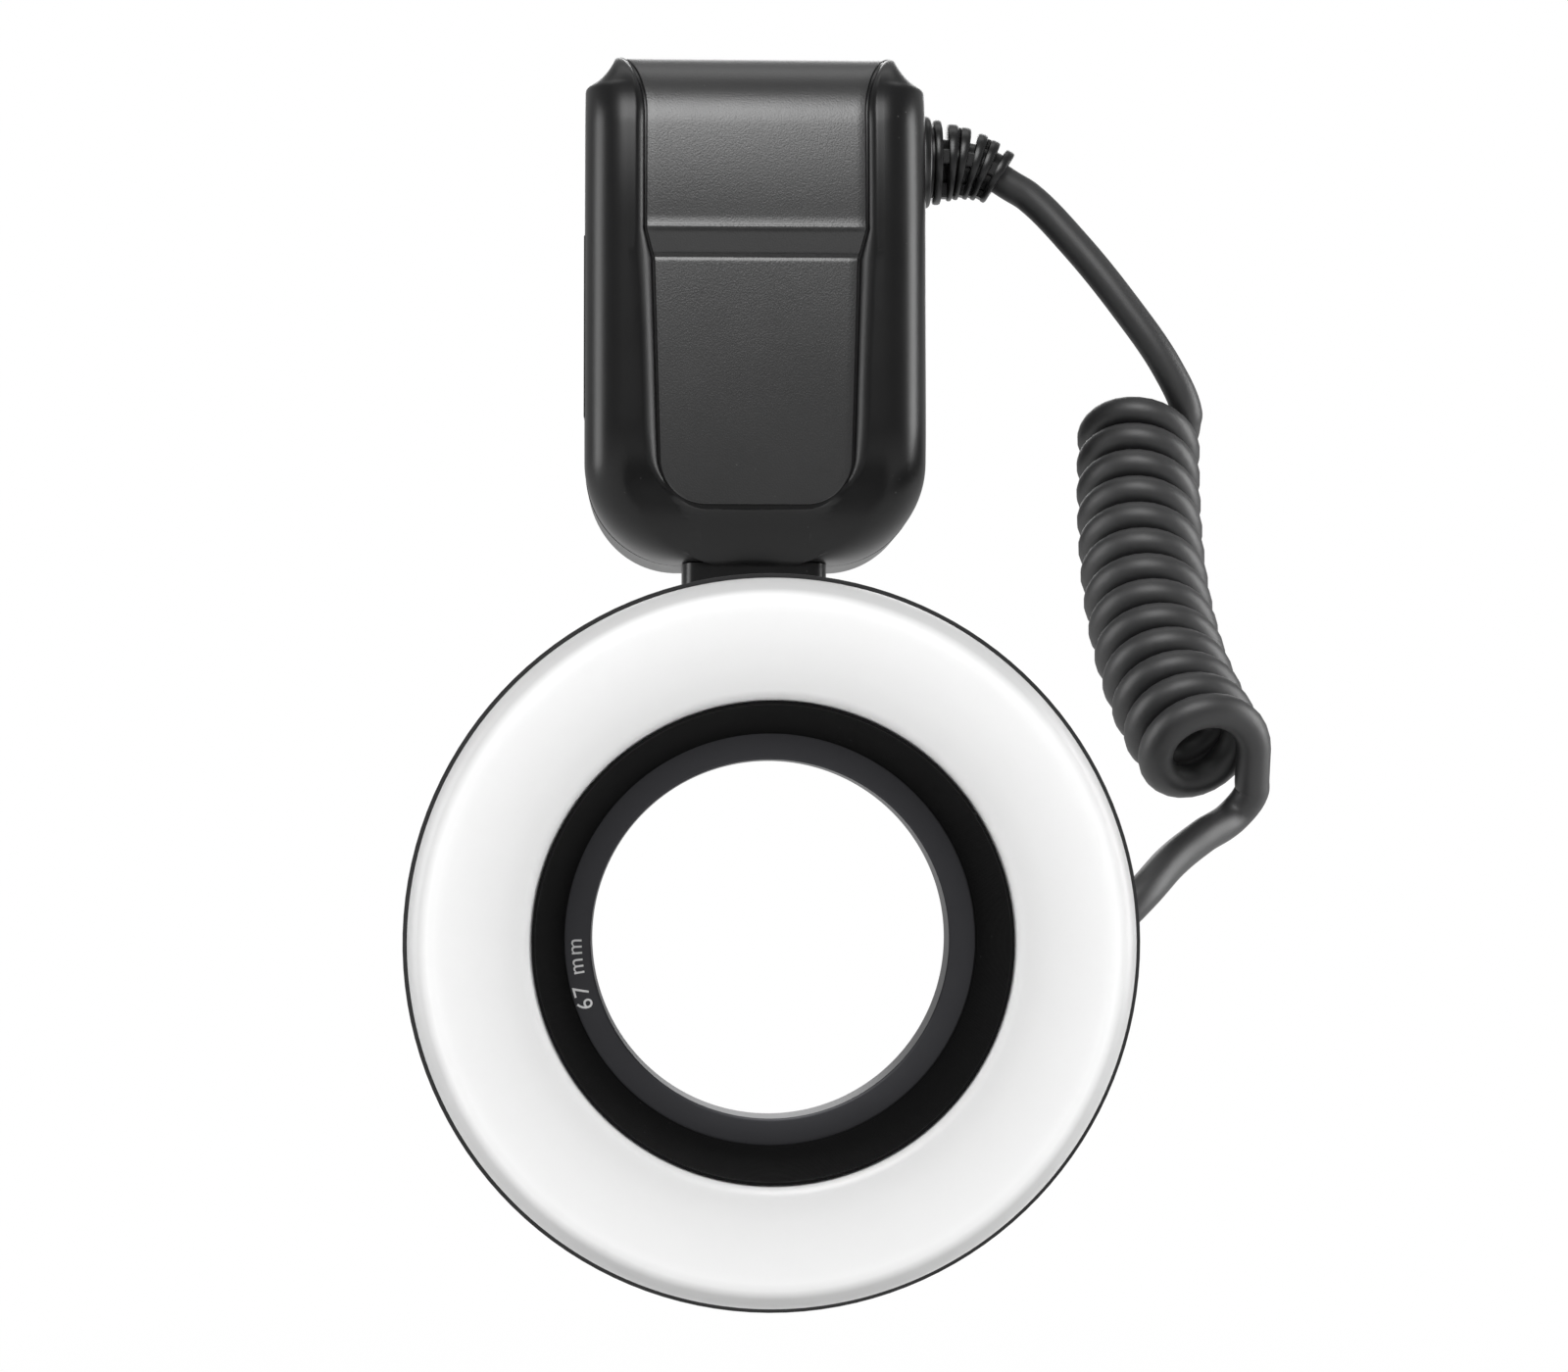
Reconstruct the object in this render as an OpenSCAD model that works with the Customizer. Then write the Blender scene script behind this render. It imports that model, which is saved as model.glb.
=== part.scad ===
// Macro ring flash: a controller that sits in a hot shoe, a ring-shaped flash head that
// clips to an adapter ring on the lens, and the curly cord that joins them.
// Origin: centre of the hot-shoe foot's underside. +Z up, the front faces -Y.

/* [Controller] */
// Width of the controller across its sides
body_w = 70.6; // [68:0.2:80]
// Height of the controller from its underside to its top
body_h = 106; // [104:0.2:114]
// Depth of the front cover, ahead of the seam
front_d = 26; // [25:1:32]
// Depth of the rear cover, behind the seam
rear_d = 26; // [25:1:32]
// Wall thickness of the rear cover
wall = 2.4; // [2:0.2:3]
// Wall thickness of the front cover
front_wall = 3.2; // [3:0.2:4]
// Thickness of the front cover behind the front panel
panel_backing = 6; // [5:0.5:7]
// Radius of the lower corners, seen from the front
corner_r = 20; // [15:1:22]
// Radius of the scooped shoulders
shoulder_r = 8.9; // [7:0.1:9.5]
// Radius of the rounding where a shoulder meets the side
shoulder_side_r = 1.6; // [1:0.1:2]
// Radius of the rounding where a shoulder meets the top
shoulder_top_r = 2; // [1:0.1:2.2]
// Radius of the roll from the front onto the top
top_roll = 17; // [14:1:19]
// Radius of the long curve under the front
chin_r = 34; // [32:1:38]
// Height that the curve under the front reaches
chin_h = 28; // [25:1:30]
// Radius of the upright front edges
cheek_r = 9; // [6:1:11]
// Radius of the upright edges of the back
back_r = 6; // [5.5:0.1:7]
// Radius of the back's upper and lower edges
back_edge_r = 5; // [3.5:0.1:5.3]
// Distance of the two pad recesses in the underside from the middle
pad_x = 18.6; // [18:0.1:21]
// Length of a pad recess
pad_l = 8; // [6:0.2:9]
// Width of a pad recess
pad_w = 3.4; // [3:0.1:4]

/* [Front panel] */
// Width of the grained panel above the step
panel_w = 45.6; // [42:0.2:50]
// Width of the panel just below the step
panel_low_w = 42.4; // [40:0.2:46]
// Width of the panel at its lower edge
panel_foot_w = 40; // [36:0.5:42]
// Width of the panel where it rolls over the top
panel_top_w = 54.6; // [51:0.2:58]
// Height of the panel's lower edge above the underside
panel_bottom = 10.8; // [9:0.2:16]
// Radius of the panel's lower corners
panel_corner_r = 8.9; // [5:0.1:12]
// Height of the step's lower edge above the underside
step_up = 61.3; // [52:0.1:70]
// Height of the step
step_h = 5.9; // [4:0.1:8]
// Depth of the upper panel below the cheeks
recess_up = 1.2; // [1:0.1:1.8]
// Depth of the lower panel below the cheeks
recess_low = 3; // [2:0.1:3.2]
// Thickness of the panel
panel_t = 1.2; // [0.8:0.1:1.6]

/* [Hot shoe foot] */
// Width of the foot plate across the shoe
foot_w = 18.6; // [18:0.1:18.6]
// Length of the foot plate along the shoe
foot_l = 18; // [16:0.5:19]
// Thickness of the foot plate
foot_t = 2; // [1.8:0.1:2]
// Width of the neck between the shoe's rails
neck_w = 12.4; // [11:0.1:12.5]
// Height of the neck
neck_h = 1.5; // [1.4:0.1:2]
// Radius of the post that the lock lever turns on
post_r = 7; // [6.5:0.1:7.5]
// Thickness of the lock lever
lever_t = 2; // [1.6:0.1:3]
// Reach of the lock lever from the post's axis
lever_reach = 24; // [20:1:28]
// Width of the shoe base
base_w = 30; // [26:1:34]
// Length of the shoe base
base_l = 28; // [26:1:32]
// Height of the shoe base
base_h = 6.1; // [5:0.1:8]
// Radius of the lock pin
lock_pin_r = 1.1; // [0.8:0.1:1.2]
// Distance of the lock pin ahead of the post's axis
lock_pin_y = 6; // [5.5:0.1:7]

/* [Rear controls] */
// Width of the display window
window_w = 52; // [46:1:53]
// Height of the display window
window_h = 34; // [30:1:35]
// Height of the display's centre above the underside
window_up = 76; // [75:0.5:76.5]
// Thickness of the display window
window_t = 1.2; // [0.8:0.1:1.4]
// Width of a function button
key_w = 9.5; // [8:0.5:11]
// Height of a function button
key_h = 5; // [4:0.5:6]
// Distance between the function buttons
key_pitch = 13; // [12:0.5:14]
// Height of the function buttons above the underside
key_up = 53.4; // [52:0.2:54]
// Radius of the round buttons
round_key_r = 3.9; // [3:0.1:4.5]
// Distance of the side controls from the middle
side_key_x = 25; // [24:0.5:26]
// Height of the upper side controls above the underside
upper_key_up = 42; // [40:0.5:44]
// Height of the lower side controls above the underside
lower_key_up = 24; // [22:0.5:26]
// Outer radius of the selector dial
dial_r = 15; // [13:0.5:16]
// Radius of the button in the middle of the dial
set_r = 8.6; // [7:0.1:10]
// Height of the dial's axis above the underside
dial_up = 32; // [30:0.5:33]
// Height that buttons stand out of the rear cover
key_proud = 1; // [0.8:0.1:2]
// Travel of the power switch
switch_travel = 4; // [3:0.5:5]

/* [Battery and sockets] */
// Thickness of the battery pack
battery_t = 16; // [13:0.5:16]
// Height of the battery pack
battery_h = 38; // [32:1:40]
// Length of the battery pack
battery_l = 56; // [48:1:58]
// Height of the battery's underside above the underside of the controller
battery_up = 29; // [28.5:0.1:30]
// Height of the socket cover
cover_h = 30; // [28:1:34]
// Width of the socket cover
cover_w = 11; // [10.5:0.5:12]
// Height of the socket cover's centre above the underside
cover_up = 43; // [40:0.5:46]

/* [Cord] */
// Diameter of the cord
cord_d = 6.6; // [6:0.1:6.6]
// Number of curls
curls = 13; // [9:1:13]
// Mean radius of the curls at the controller's end
curl_r_top = 9.6; // [8.5:0.1:10.5]
// Mean radius of the curls at the ring's end
curl_r_end = 9.2; // [8:0.1:10]
// Height of the cord's exit above the underside of the controller
relief_up = 85.8; // [80:0.2:87]
// Radius of the strain reliefs' collar
relief_r = 8.9; // [8:0.1:10]

/* [Ring head] */
// Width of the light band from the view opening to the rim
band_w = 22.9; // [21.5:0.1:25.5]
// Depth of the ring from front to back
ring_depth = 28; // [28:0.5:32]
// Distance of the ring's front ahead of the shoe's centre
ring_reach = 132; // [120:1:150]
// Distance of the ring's axis below the foot's underside
lens_drop = 62; // [60:1:68]
// Width that the view opening's funnel flares out on each side
flare_w = 4.7; // [4:0.1:6]
// Wall thickness of the ring housing
ring_wall = 2.2; // [1.8:0.1:2.4]
// Wall thickness of the diffuser
diffuser_t = 1.8; // [1.4:0.1:2.4]
// Radius of the diffuser's outer edge
diffuser_edge_r = 5.5; // [4:0.5:6.5]
// Radius of a flash tube
tube_r = 2.5; // [2:0.1:3]

/* [Adapter ring] */
// Diameter of the lens filter thread that the adapter screws into
thread_d = 67; // [66:0.5:68]
// Length of the thread
thread_l = 3.5; // [3:0.1:4.5]
// Wall thickness of the adapter inside its thread
thread_wall = 1.8; // [1.5:0.1:3]
// Width that the flange held by the latches stands out beyond the thread
flange_w = 6.5; // [6:0.1:6.7]
// Width that the view opening's lip stands out beyond the thread
lip_w = 2.9; // [2:0.1:3.5]
// Travel of the release latches
latch_travel = 2.2; // [2:0.1:2.4]

/* [Clearances] */
// Gap round a fixed fit
fit = 0.05; // [0.05:0.01:0.1]
// Gap round a moving piece
slip = 0.3; // [0.25:0.05:0.35]
// Gap round the front panel
panel_gap = 0.2; // [0.1:0.05:0.4]
// Radius of the screws
screw_r = 1.25; // [1:0.05:1.4]

/* [Hidden] */
$fn = 48;

// Heights from the foot up to the controller
neck_top = foot_t + neck_h;
lever_z = neck_top + slip;
base_z = lever_z + lever_t + slip;
body_z = base_z + base_h;

// Heights of the rear controls, the display, the sockets and the cord's exit keep their share of the controller's height
drawn_h = 106;
tall = body_h / drawn_h;
window_at = window_up * tall;
window_tall = window_h * tall;
key_at = key_up * tall;
dial_at = dial_up * tall;
upper_key_at = upper_key_up * tall;
lower_key_at = lower_key_up * tall;
cover_at = cover_up * tall;
relief_at_h = relief_up * tall;

// Scooped shoulders
shoulder_out = 2.4;
shoulder_up = 0.9;

// Layers inside the rear cover, from the back inwards
inner_back = rear_d - wall;
board_gap = 7;
board_back = inner_back - board_gap;
board_t = 1.6;
board_front = board_back - board_t;
board_w = 60;
board_low_up = 17;
board_low = board_low_up * tall;
board_high_up = 94;
board_high = board_high_up * tall;
pillar_x = 15;
pillar_r = 2;
pillar_edge = 2.85;
switch_h = 0.5;
key_travel = 0.6;
key_flange = 0.8;
key_flange_t = 1.2;
dial_clear = 0.8;
dial_bore_r = set_r + dial_clear;

// Screws between the covers: their places and sizes
boss_r = 3.4;
head_r = 2.3;
head_h = 1.6;
screw_places = [[-22, body_h - 6.5], [22, body_h - 6.5], [-28.5, 12], [28.5, 12]];

// Battery and its bay
bay_wall = 1.4;
battery_front = -battery_t - 2;
battery_x = -body_w / 2;
release_w = 12;
release_h = 6;
release_t = 2.6;
release_travel = 1.5;

// Capacitor, set in two ribs of the front cover
capacitor_r = 9;
capacitor_l = 46;
capacitor_y = -8;
capacitor_up = 16.5;
rib_x = 14;
rib_t = 2;

// Socket cover and its hinge
cover_t = 1.4;
cover_depth = 1.2;
hinge_r = 0.8;
hinge_x = body_w / 2 - cover_depth + 0.2 + hinge_r;
hinge_y = 17.7;

// Strain reliefs
relief_boss_h = 1.3;
relief_boss_r = 9.5;
relief_neck_r = 5;
relief_core_r = 4.6;
relief_end_r = 6;
relief_steps = 5;
relief_step_l = 2.4;
relief_rib_t = 1.1;
relief_bar_w = 2.6;
collar_t = 1.8;
collar_groove = 0.6;
collar_l = 2 * collar_t + collar_groove;
upper_bend = 33;
relief_x = body_w / 2 + relief_boss_h;
relief_z = body_z + relief_at_h;
lower_tilt = 36;
lower_boss_l = 6;
lower_boss_r = 7;

// Diameters of the ring head, built up outwards from the lens thread
adapter_bore_d = thread_d - 2 * thread_wall;
flange_d = thread_d + 2 * flange_w;
lip_d = thread_d + 2 * lip_w;
bore_d = lip_d + 2 * flare_w;
ring_d = bore_d + 2 * band_w;

// Layers of the ring head, measured forward from the shoe's centre plane
ring_back = ring_reach - ring_depth;
rim_r = ring_d / 2;
back_slope_h = 8;
diffuser_h = 7;
seat_h = 2;
diffuser_in_rim = 0.8;
rim_back = ring_back + back_slope_h;
rim_front = ring_reach - diffuser_h;
diffuser_seat = rim_front - seat_h;
diffuser_r = rim_r - diffuser_in_rim;
floor_top = ring_back + ring_wall;
opening_r = flange_d / 2 + 2 * slip;
back_slope_share = 0.235;
back_slope_w = back_slope_share * (rim_r - opening_r);
back_edge_w = 2.5;
latch_t = 1.2;
latch_low = floor_top + slip;
latch_high = latch_low + latch_t + slip;
trigger_low = latch_high + latch_t + 2 * slip;
trigger_high = trigger_low + board_t;
liner_t = 1.4;
liner_top = trigger_high + liner_t;
lip_r = lip_d / 2;
bore_r = bore_d / 2;
liner_front = ring_reach - 1.2;
liner_tube_r = bore_r + 2.1;
ring_post_r = 2.1;
post_edge = 0.4;
plate_edge = 0.9;
post_ring_r = rim_r - back_slope_w - back_edge_w - head_r - slip - post_edge;
plate_r = post_ring_r + ring_post_r + plate_edge;
reflector_t = 0.8;
reflector_in = liner_tube_r + liner_t + 2 * fit;
reflector_gap = 0.9;
reflector_lean = 1;
reflector_low = 0.6;
reflector_out = rim_r - ring_wall - reflector_gap;
reflector_top = diffuser_seat - reflector_low;
tube_ring_r = (reflector_in + reflector_out) / 2;
tube_over = 2.2;
tube_z = liner_top + reflector_t + tube_r + tube_over;
tube_gap = 16;
tube_span = 90 - tube_gap / 2;
holder_in = 6;
holder_angle = tube_span - holder_in;
holder_half = (reflector_out - reflector_in) / 2 - reflector_t - reflector_lean - fit;
holder_l = 5;
post_angle = 45;
latch_gap = 0.4;
latch_hole_r = opening_r + latch_gap;
latch_out_r = post_ring_r - ring_post_r - latch_travel * cos(post_angle) - slip;
jaw_w = 14;
jaw_bite = 1.7;
jaw_r = flange_d / 2 - jaw_bite;
latch_button_w = 12;
latch_button_r = rim_r - 1.8;
latch_button_low = floor_top - 0.1;
latch_button_h = 3.6;
latch_button_l = 5;
stem_tip = latch_button_r - 3;
adapter_face = trigger_high - slip;
adapter_flange_t = adapter_face - latch_high - latch_t - 0.2;
jaw_clear = 1;
adapter_body_r = jaw_r - jaw_clear;
adapter_flange_low = adapter_face - adapter_flange_t;
stem_in = latch_out_r - 1;

// The cord's route: chosen points, then the curls from a formula
upper_route = [[58, 0, 90.4], [68.5, -1, 78.6], [79, -3, 65.5], [86.5, -7, 54]];
coil_axis = [[79.8, -2, 39.5], [77.5, -24, 15], [75, -50, -11], [84, -76, -29]];
lower_points = [[90, -68.5, -40], [83, -75, -44], [75.5, -84.5, -48.7], [69, -92, -54.5]];
// Where the cord meets the ring's relief, and how far that is from where the points were drawn for
lower_in = 2.5;
lower_behind = 9.5;
lower_over = 1.1;
lower_end = [rim_r - lower_in, lower_behind - ring_back, lower_over - lens_drop];
lower_drawn = [61.5, -94.5, -60.9];
lower_route = [for (i = [0 : 3]) lower_points[i] + (lower_end - lower_drawn) * (i + 1) / 4];
curl_rings = 8;
curl_sides = 6;
lead_sides = 10;
lead_steps = 2;
lead_stub = 2.5;

function unit(v) = v / norm(v);
function bezier(p, t) = pow(1 - t, 3) * p[0] + 3 * t * pow(1 - t, 2) * p[1]
    + 3 * t * t * (1 - t) * p[2] + pow(t, 3) * p[3];
function bezier_dir(p, t) = unit(pow(1 - t, 2) * (p[1] - p[0])
    + 2 * t * (1 - t) * (p[2] - p[1]) + t * t * (p[3] - p[2]));
function coil_side(t) = let (d = bezier_dir(coil_axis, t)) unit([1, 0, 0] - d.x * d);
function coil_at(t) = let (d = bezier_dir(coil_axis, t), e = coil_side(t), a = 360 * curls * t,
    r = curl_r_top + (curl_r_end - curl_r_top) * t)
    bezier(coil_axis, t) + r * (cos(a) * e + sin(a) * cross(e, d));
function coil_dir(t, h = 0.0005) = unit(coil_at(t + h) - coil_at(t - h));
coil_turns = [for (i = [0 : curls * curl_rings]) coil_at(i / (curls * curl_rings))];
coil_in = coil_turns[0] - cord_d * coil_dir(0);
coil_out = coil_turns[len(coil_turns) - 1] + cord_d * coil_dir(1);
coil_path = concat([coil_in], coil_turns, [coil_out]);
coil_refs = [for (i = [0 : len(coil_path) - 1])
    bezier_dir(coil_axis, max(0, min(1, (i - 1) / (len(coil_turns) - 1))))];
coil_gap = min([for (i = [0 : len(coil_turns) - 1])
    for (j = [i + curl_rings / 2 : len(coil_turns) - 1]) norm(coil_turns[i] - coil_turns[j])]) - cord_d;
echo(least_gap_between_curls_mm = coil_gap);

relief_l = relief_steps * relief_step_l;
function relief_bend_r(bend) = relief_l / (bend * PI / 180);
function relief_at(a, bend) = bend == 0 ? [collar_l + a * relief_l, 0, 0]
    : [collar_l + relief_bend_r(bend) * sin(a * bend), 0, relief_bend_r(bend) * (cos(a * bend) - 1)];
upper_exit = [relief_x, 0, relief_z] + relief_at(1, upper_bend);
upper_dir = [cos(upper_bend), 0, -sin(upper_bend)];
lower_dir = [cos(lower_tilt), 0, sin(lower_tilt)];
lower_start = lower_end - (collar_l + relief_l) * lower_dir;

// A smooth line through points, with its ends leaving along given directions
function spline(p, i, t) = let (l = norm(p[i + 1] - p[i]))
    (2 * t * t * t - 3 * t * t + 1) * p[i] + (t * t * t - 2 * t * t + t) * l * heading(p, i)
    + (3 * t * t - 2 * t * t * t) * p[i + 1] + (t * t * t - t * t) * l * heading(p, i + 1);
function smooth(p, n) = concat([for (i = [0 : len(p) - 2]) for (k = [0 : n - 1]) spline(p, i, k / n)],
    [p[len(p) - 1]]);
upper_path = smooth(concat([upper_exit, upper_exit + lead_stub * upper_dir], upper_route,
    [coil_in - lead_stub * coil_dir(0), coil_in]), lead_steps);
lower_path = smooth(concat([coil_out, coil_out + lead_stub * coil_dir(1)], lower_route,
    [lower_end + lead_stub * lower_dir, lower_end]), lead_steps);

function heading(p, i) = i == 0 ? unit(p[1] - p[0]) : i == len(p) - 1 ? unit(p[i] - p[i - 1])
    : unit(unit(p[i + 1] - p[i]) + unit(p[i] - p[i - 1]));

// One closed tube along a path, with refs giving the side that each ring is turned to
module tube(path, refs, r, sides) {
    n = len(path);
    points = [for (i = [0 : n - 1]) let (t = heading(path, i), u = unit(cross(t, refs[i])), v = cross(t, u))
        for (k = [0 : sides - 1]) path[i] + r * (cos(360 * k / sides) * u + sin(360 * k / sides) * v)];
    skin = [for (i = [0 : n - 2]) for (k = [0 : sides - 1])
        let (a = i * sides + k, b = i * sides + (k + 1) % sides)
        each [[a, b + sides, b], [a, a + sides, b + sides]]];
    caps = [for (k = [1 : sides - 2]) each [[0, k, k + 1],
        [(n - 1) * sides, (n - 1) * sides + k + 1, (n - 1) * sides + k]]];
    polyhedron(points, concat(skin, caps));
}

module lead(path, ref) tube(path, [for (p = path) ref], cord_d / 2, lead_sides);

function arc(cx, cy, r, from, to, n) = [for (i = [0 : n]) let (a = from + (to - from) * i / n)
    [cx + r * cos(a), cy + r * sin(a)]];
function mirrored(p) = concat(p, [for (i = [len(p) - 1 : -1 : 0]) [-p[i].x, p[i].y]]);
function backwards(p) = [for (i = [len(p) - 1 : -1 : 0]) p[i]];

module rounded(w, h, r) {
    square([w - 2 * r, h], center = true);
    square([w, h - 2 * r], center = true);
    for (x = [-1, 1], y = [-1, 1]) translate([x * (w / 2 - r), y * (h / 2 - r)]) circle(r);
}

// Extrudes an outline drawn in X and height, from one depth to another
module across_y(from, to) translate([0, to, body_z]) rotate([90, 0, 0]) linear_extrude(to - from) children();
// Extrudes an outline drawn in depth and height, across the width
module across_x(from, to) translate([from, 0, body_z]) rotate([90, 0, 90]) linear_extrude(to - from) children();
// Puts a piece on the rear cover at x and a height above the underside, with +Z pointing out of the back
module on_rear(x, up, y) translate([x, y, body_z + up]) rotate([-90, 0, 0]) children();
// The ring's own frame: +Z points forward along the lens axis
module on_ring() translate([0, 0, -lens_drop]) rotate([90, 0, 0]) children();

// Centres of the scooped shoulders and of the roundings at their ends
scoop = [body_w / 2 + shoulder_out, body_h + shoulder_up];
side_round = [body_w / 2 - shoulder_side_r,
    scoop.y - sqrt(pow(shoulder_r + shoulder_side_r, 2) - pow(shoulder_out + shoulder_side_r, 2))];
top_round = [scoop.x - sqrt(pow(shoulder_r + shoulder_top_r, 2) - pow(shoulder_up + shoulder_top_r, 2)),
    body_h - shoulder_top_r];
// The corner that a rounding takes off, between two directions from its centre
module round_off(at, from, to) polygon([at, at + 4 * from, at + 4 * from + 4 * to, at + 4 * to]);

// Front outline of the controller, drawn in by d
module body_outline(d) {
    difference() {
        union() {
            translate([-body_w / 2 + d, corner_r]) square([body_w - 2 * d, body_h - d - corner_r]);
            translate([-body_w / 2 + corner_r, d]) square([body_w - 2 * corner_r, corner_r]);
            for (s = [-1, 1]) translate([s * (body_w / 2 - corner_r), corner_r]) circle(corner_r - d);
        }
        for (s = [0, 1]) mirror([s, 0]) {
            translate(scoop) circle(shoulder_r + d);
            if (d < shoulder_side_r) round_off(side_round, [1, 0], unit(scoop - side_round));
            if (d < shoulder_top_r) round_off(top_round, [0, 1], unit(scoop - top_round));
        }
    }
    for (s = [0, 1]) mirror([s, 0]) {
        if (d < shoulder_side_r) translate(side_round) circle(shoulder_side_r - d);
        if (d < shoulder_top_r) translate(top_round) circle(shoulder_top_r - d);
    }
}

// Side outline of the controller, drawn in by d
module side_outline(d) {
    translate([-front_d + d, chin_h]) square([front_d + rear_d - 2 * d, body_h - top_roll - chin_h]);
    translate([-front_d + top_roll, body_h - top_roll - 1])
        square([front_d + rear_d - top_roll - back_edge_r, top_roll + 1 - d]);
    translate([-front_d + top_roll, body_h - top_roll]) circle(top_roll - d);
    translate([0, body_h - top_roll - 1]) square([rear_d - d, top_roll + 1 - back_edge_r]);
    translate([rear_d - back_edge_r, body_h - back_edge_r]) circle(back_edge_r - d);
    intersection() {
        translate([-front_d + chin_r, chin_h]) circle(chin_r - d);
        translate([-front_d, d]) square([chin_r, chin_h]);
    }
    translate([0, d]) square([rear_d - back_edge_r, chin_h]);
    translate([0, back_edge_r]) square([rear_d - d, chin_h]);
    translate([rear_d - back_edge_r, back_edge_r]) circle(back_edge_r - d);
}

// Plan of the controller, drawn in by d
module plan_outline(d) {
    translate([-body_w / 2 + d, -front_d + cheek_r])
        square([body_w - 2 * d, front_d + rear_d - cheek_r - back_r]);
    translate([-body_w / 2 + cheek_r, -front_d + d]) square([body_w - 2 * cheek_r, front_d]);
    translate([-body_w / 2 + back_r, 0]) square([body_w - 2 * back_r, rear_d - d]);
    for (s = [-1, 1]) {
        translate([s * (body_w / 2 - cheek_r), -front_d + cheek_r]) circle(cheek_r - d);
        translate([s * (body_w / 2 - back_r), rear_d - back_r]) circle(back_r - d);
    }
}

// The controller's outer form, drawn in by d, between two depths
module body_form(d, from, to) intersection() {
    across_y(from, to) body_outline(d);
    across_x(-body_w, body_w) side_outline(d);
    translate([0, 0, body_z - 1]) linear_extrude(body_h + 2) plan_outline(d);
}

// Front outline of the grained panel, let out by g
flare_h = 14.5;
flare_up = body_h - flare_h;
flare_run = (panel_top_w - panel_w) / 2;
flare_r = (pow(body_h - flare_up, 2) + pow(flare_run, 2)) / (2 * flare_run);
flare_angle = asin((body_h - flare_up) / flare_r);
function panel_half(g) = concat(
    arc(panel_foot_w / 2 - panel_corner_r, panel_bottom + panel_corner_r, panel_corner_r + g, -90, 0, 6),
    [[panel_low_w / 2 + g, step_up], [panel_w / 2 + g, step_up + step_h]],
    arc(panel_w / 2 + flare_r, flare_up, flare_r - g, 180, 180 - flare_angle, 5),
    [[panel_top_w / 2 + g, body_h + 2]]);
module panel_outline(g) polygon(mirrored(panel_half(g)));

// Side curve of the panel, set back by d
function panel_face(d) = concat(
    [[-front_d + recess_low + d, 0], [-front_d + recess_low + d, step_up],
        [-front_d + recess_up + d, step_up + step_h]],
    arc(-front_d + recess_up + top_roll, body_h - top_roll, top_roll - d, 180, 90, 8));
panel_flat = 3.5;
panel_end = -front_d + recess_up + top_roll + panel_flat;
module panel_section() polygon(concat(panel_face(0), [[panel_end, body_h],
    [panel_end, body_h - panel_t]], backwards(panel_face(panel_t))));
module pocket_section() polygon(concat([[-front_d - 5, 0]], panel_face(panel_t),
    [[panel_end + panel_gap, body_h - panel_t], [panel_end + panel_gap, body_h + 5],
        [-front_d - 5, body_h + 5]]));

module screw_bosses(from, to) for (p = screw_places)
    translate([p.x, to, body_z + p.y]) rotate([90, 0, 0]) cylinder(r = boss_r, h = to - from);
module screw_holes(r, from, to) for (p = screw_places)
    translate([p.x, to, body_z + p.y]) rotate([90, 0, 0]) cylinder(r = r, h = to - from);

// The round boss on the right side that the seam splits, on one side of the seam
module relief_boss(side) intersection() {
    translate([body_w / 2 - front_wall, 0, relief_z]) rotate([0, 90, 0])
        cylinder(r = relief_boss_r, h = front_wall + relief_boss_h);
    translate([0, side > 0 ? 0 : -relief_boss_r - 1, relief_z - relief_boss_r - 1])
        cube([body_w, relief_boss_r + 1, 2 * relief_boss_r + 2]);
}
module relief_hole() translate([body_w / 2 - front_wall - 1, 0, relief_z]) rotate([0, 90, 0])
    cylinder(r = relief_neck_r + fit, h = front_wall + relief_boss_h + 2);

module capacitor_form(g) translate([-capacitor_l / 2 - g, capacitor_y, body_z + capacitor_up])
    rotate([0, 90, 0]) cylinder(r = capacitor_r + g, h = capacitor_l + 2 * g);

module battery_form(g, from, to) translate([from, battery_front - g, body_z + battery_up - g])
    cube([to - from, battery_t + 2 * g, battery_h + 2 * g]);

// Two shallow recesses in the underside for rubber pads
pad_in = 1.4;
pad_depth = 1;
module front_cover() color("#2b2b2d") difference() {
    union() {
        difference() {
            body_form(0, -front_d, 0);
            body_form(front_wall, -front_d + panel_backing, 1);
        }
        intersection() {
            body_form(front_wall / 2, -front_d + panel_backing / 2, 0);
            union() {
                screw_bosses(-front_d, 0);
                for (s = [-1, 1]) translate([s * rib_x - rib_t / 2, -front_d, body_z])
                    cube([rib_t, front_d + capacitor_y + 4, capacitor_up]);
            }
        }
        relief_boss(-1);
    }
    intersection() {
        across_y(-front_d - 1, 0) panel_outline(panel_gap);
        across_x(-body_w, body_w) pocket_section();
    }
    battery_form(slip, -body_w, -body_w / 2 + 2 * front_wall);
    capacitor_form(fit);
    screw_holes(screw_r + fit, -10, 1);
    relief_hole();
    for (s = [-1, 1]) translate([s * pad_x, -pad_l / 2 - pad_in, body_z - 1])
        linear_extrude(1 + pad_depth) rounded(pad_w, pad_l, pad_w / 2 - 0.01);
}

module front_panel() color("#3a3a3c") intersection() {
    across_y(-front_d - 1, 0) panel_outline(0);
    across_x(-body_w, body_w) panel_section();
}

// Places of the buttons on the rear cover, as x and height
function key_x(i) = (i - 2.5) * key_pitch;
mode_place = [-side_key_x, upper_key_at];
sync_place = [side_key_x, upper_key_at];
test_place = [-side_key_x, lower_key_at];
switch_place = [side_key_x, lower_key_at];
switch_w = 5;
switch_h_face = 4.4;

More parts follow.
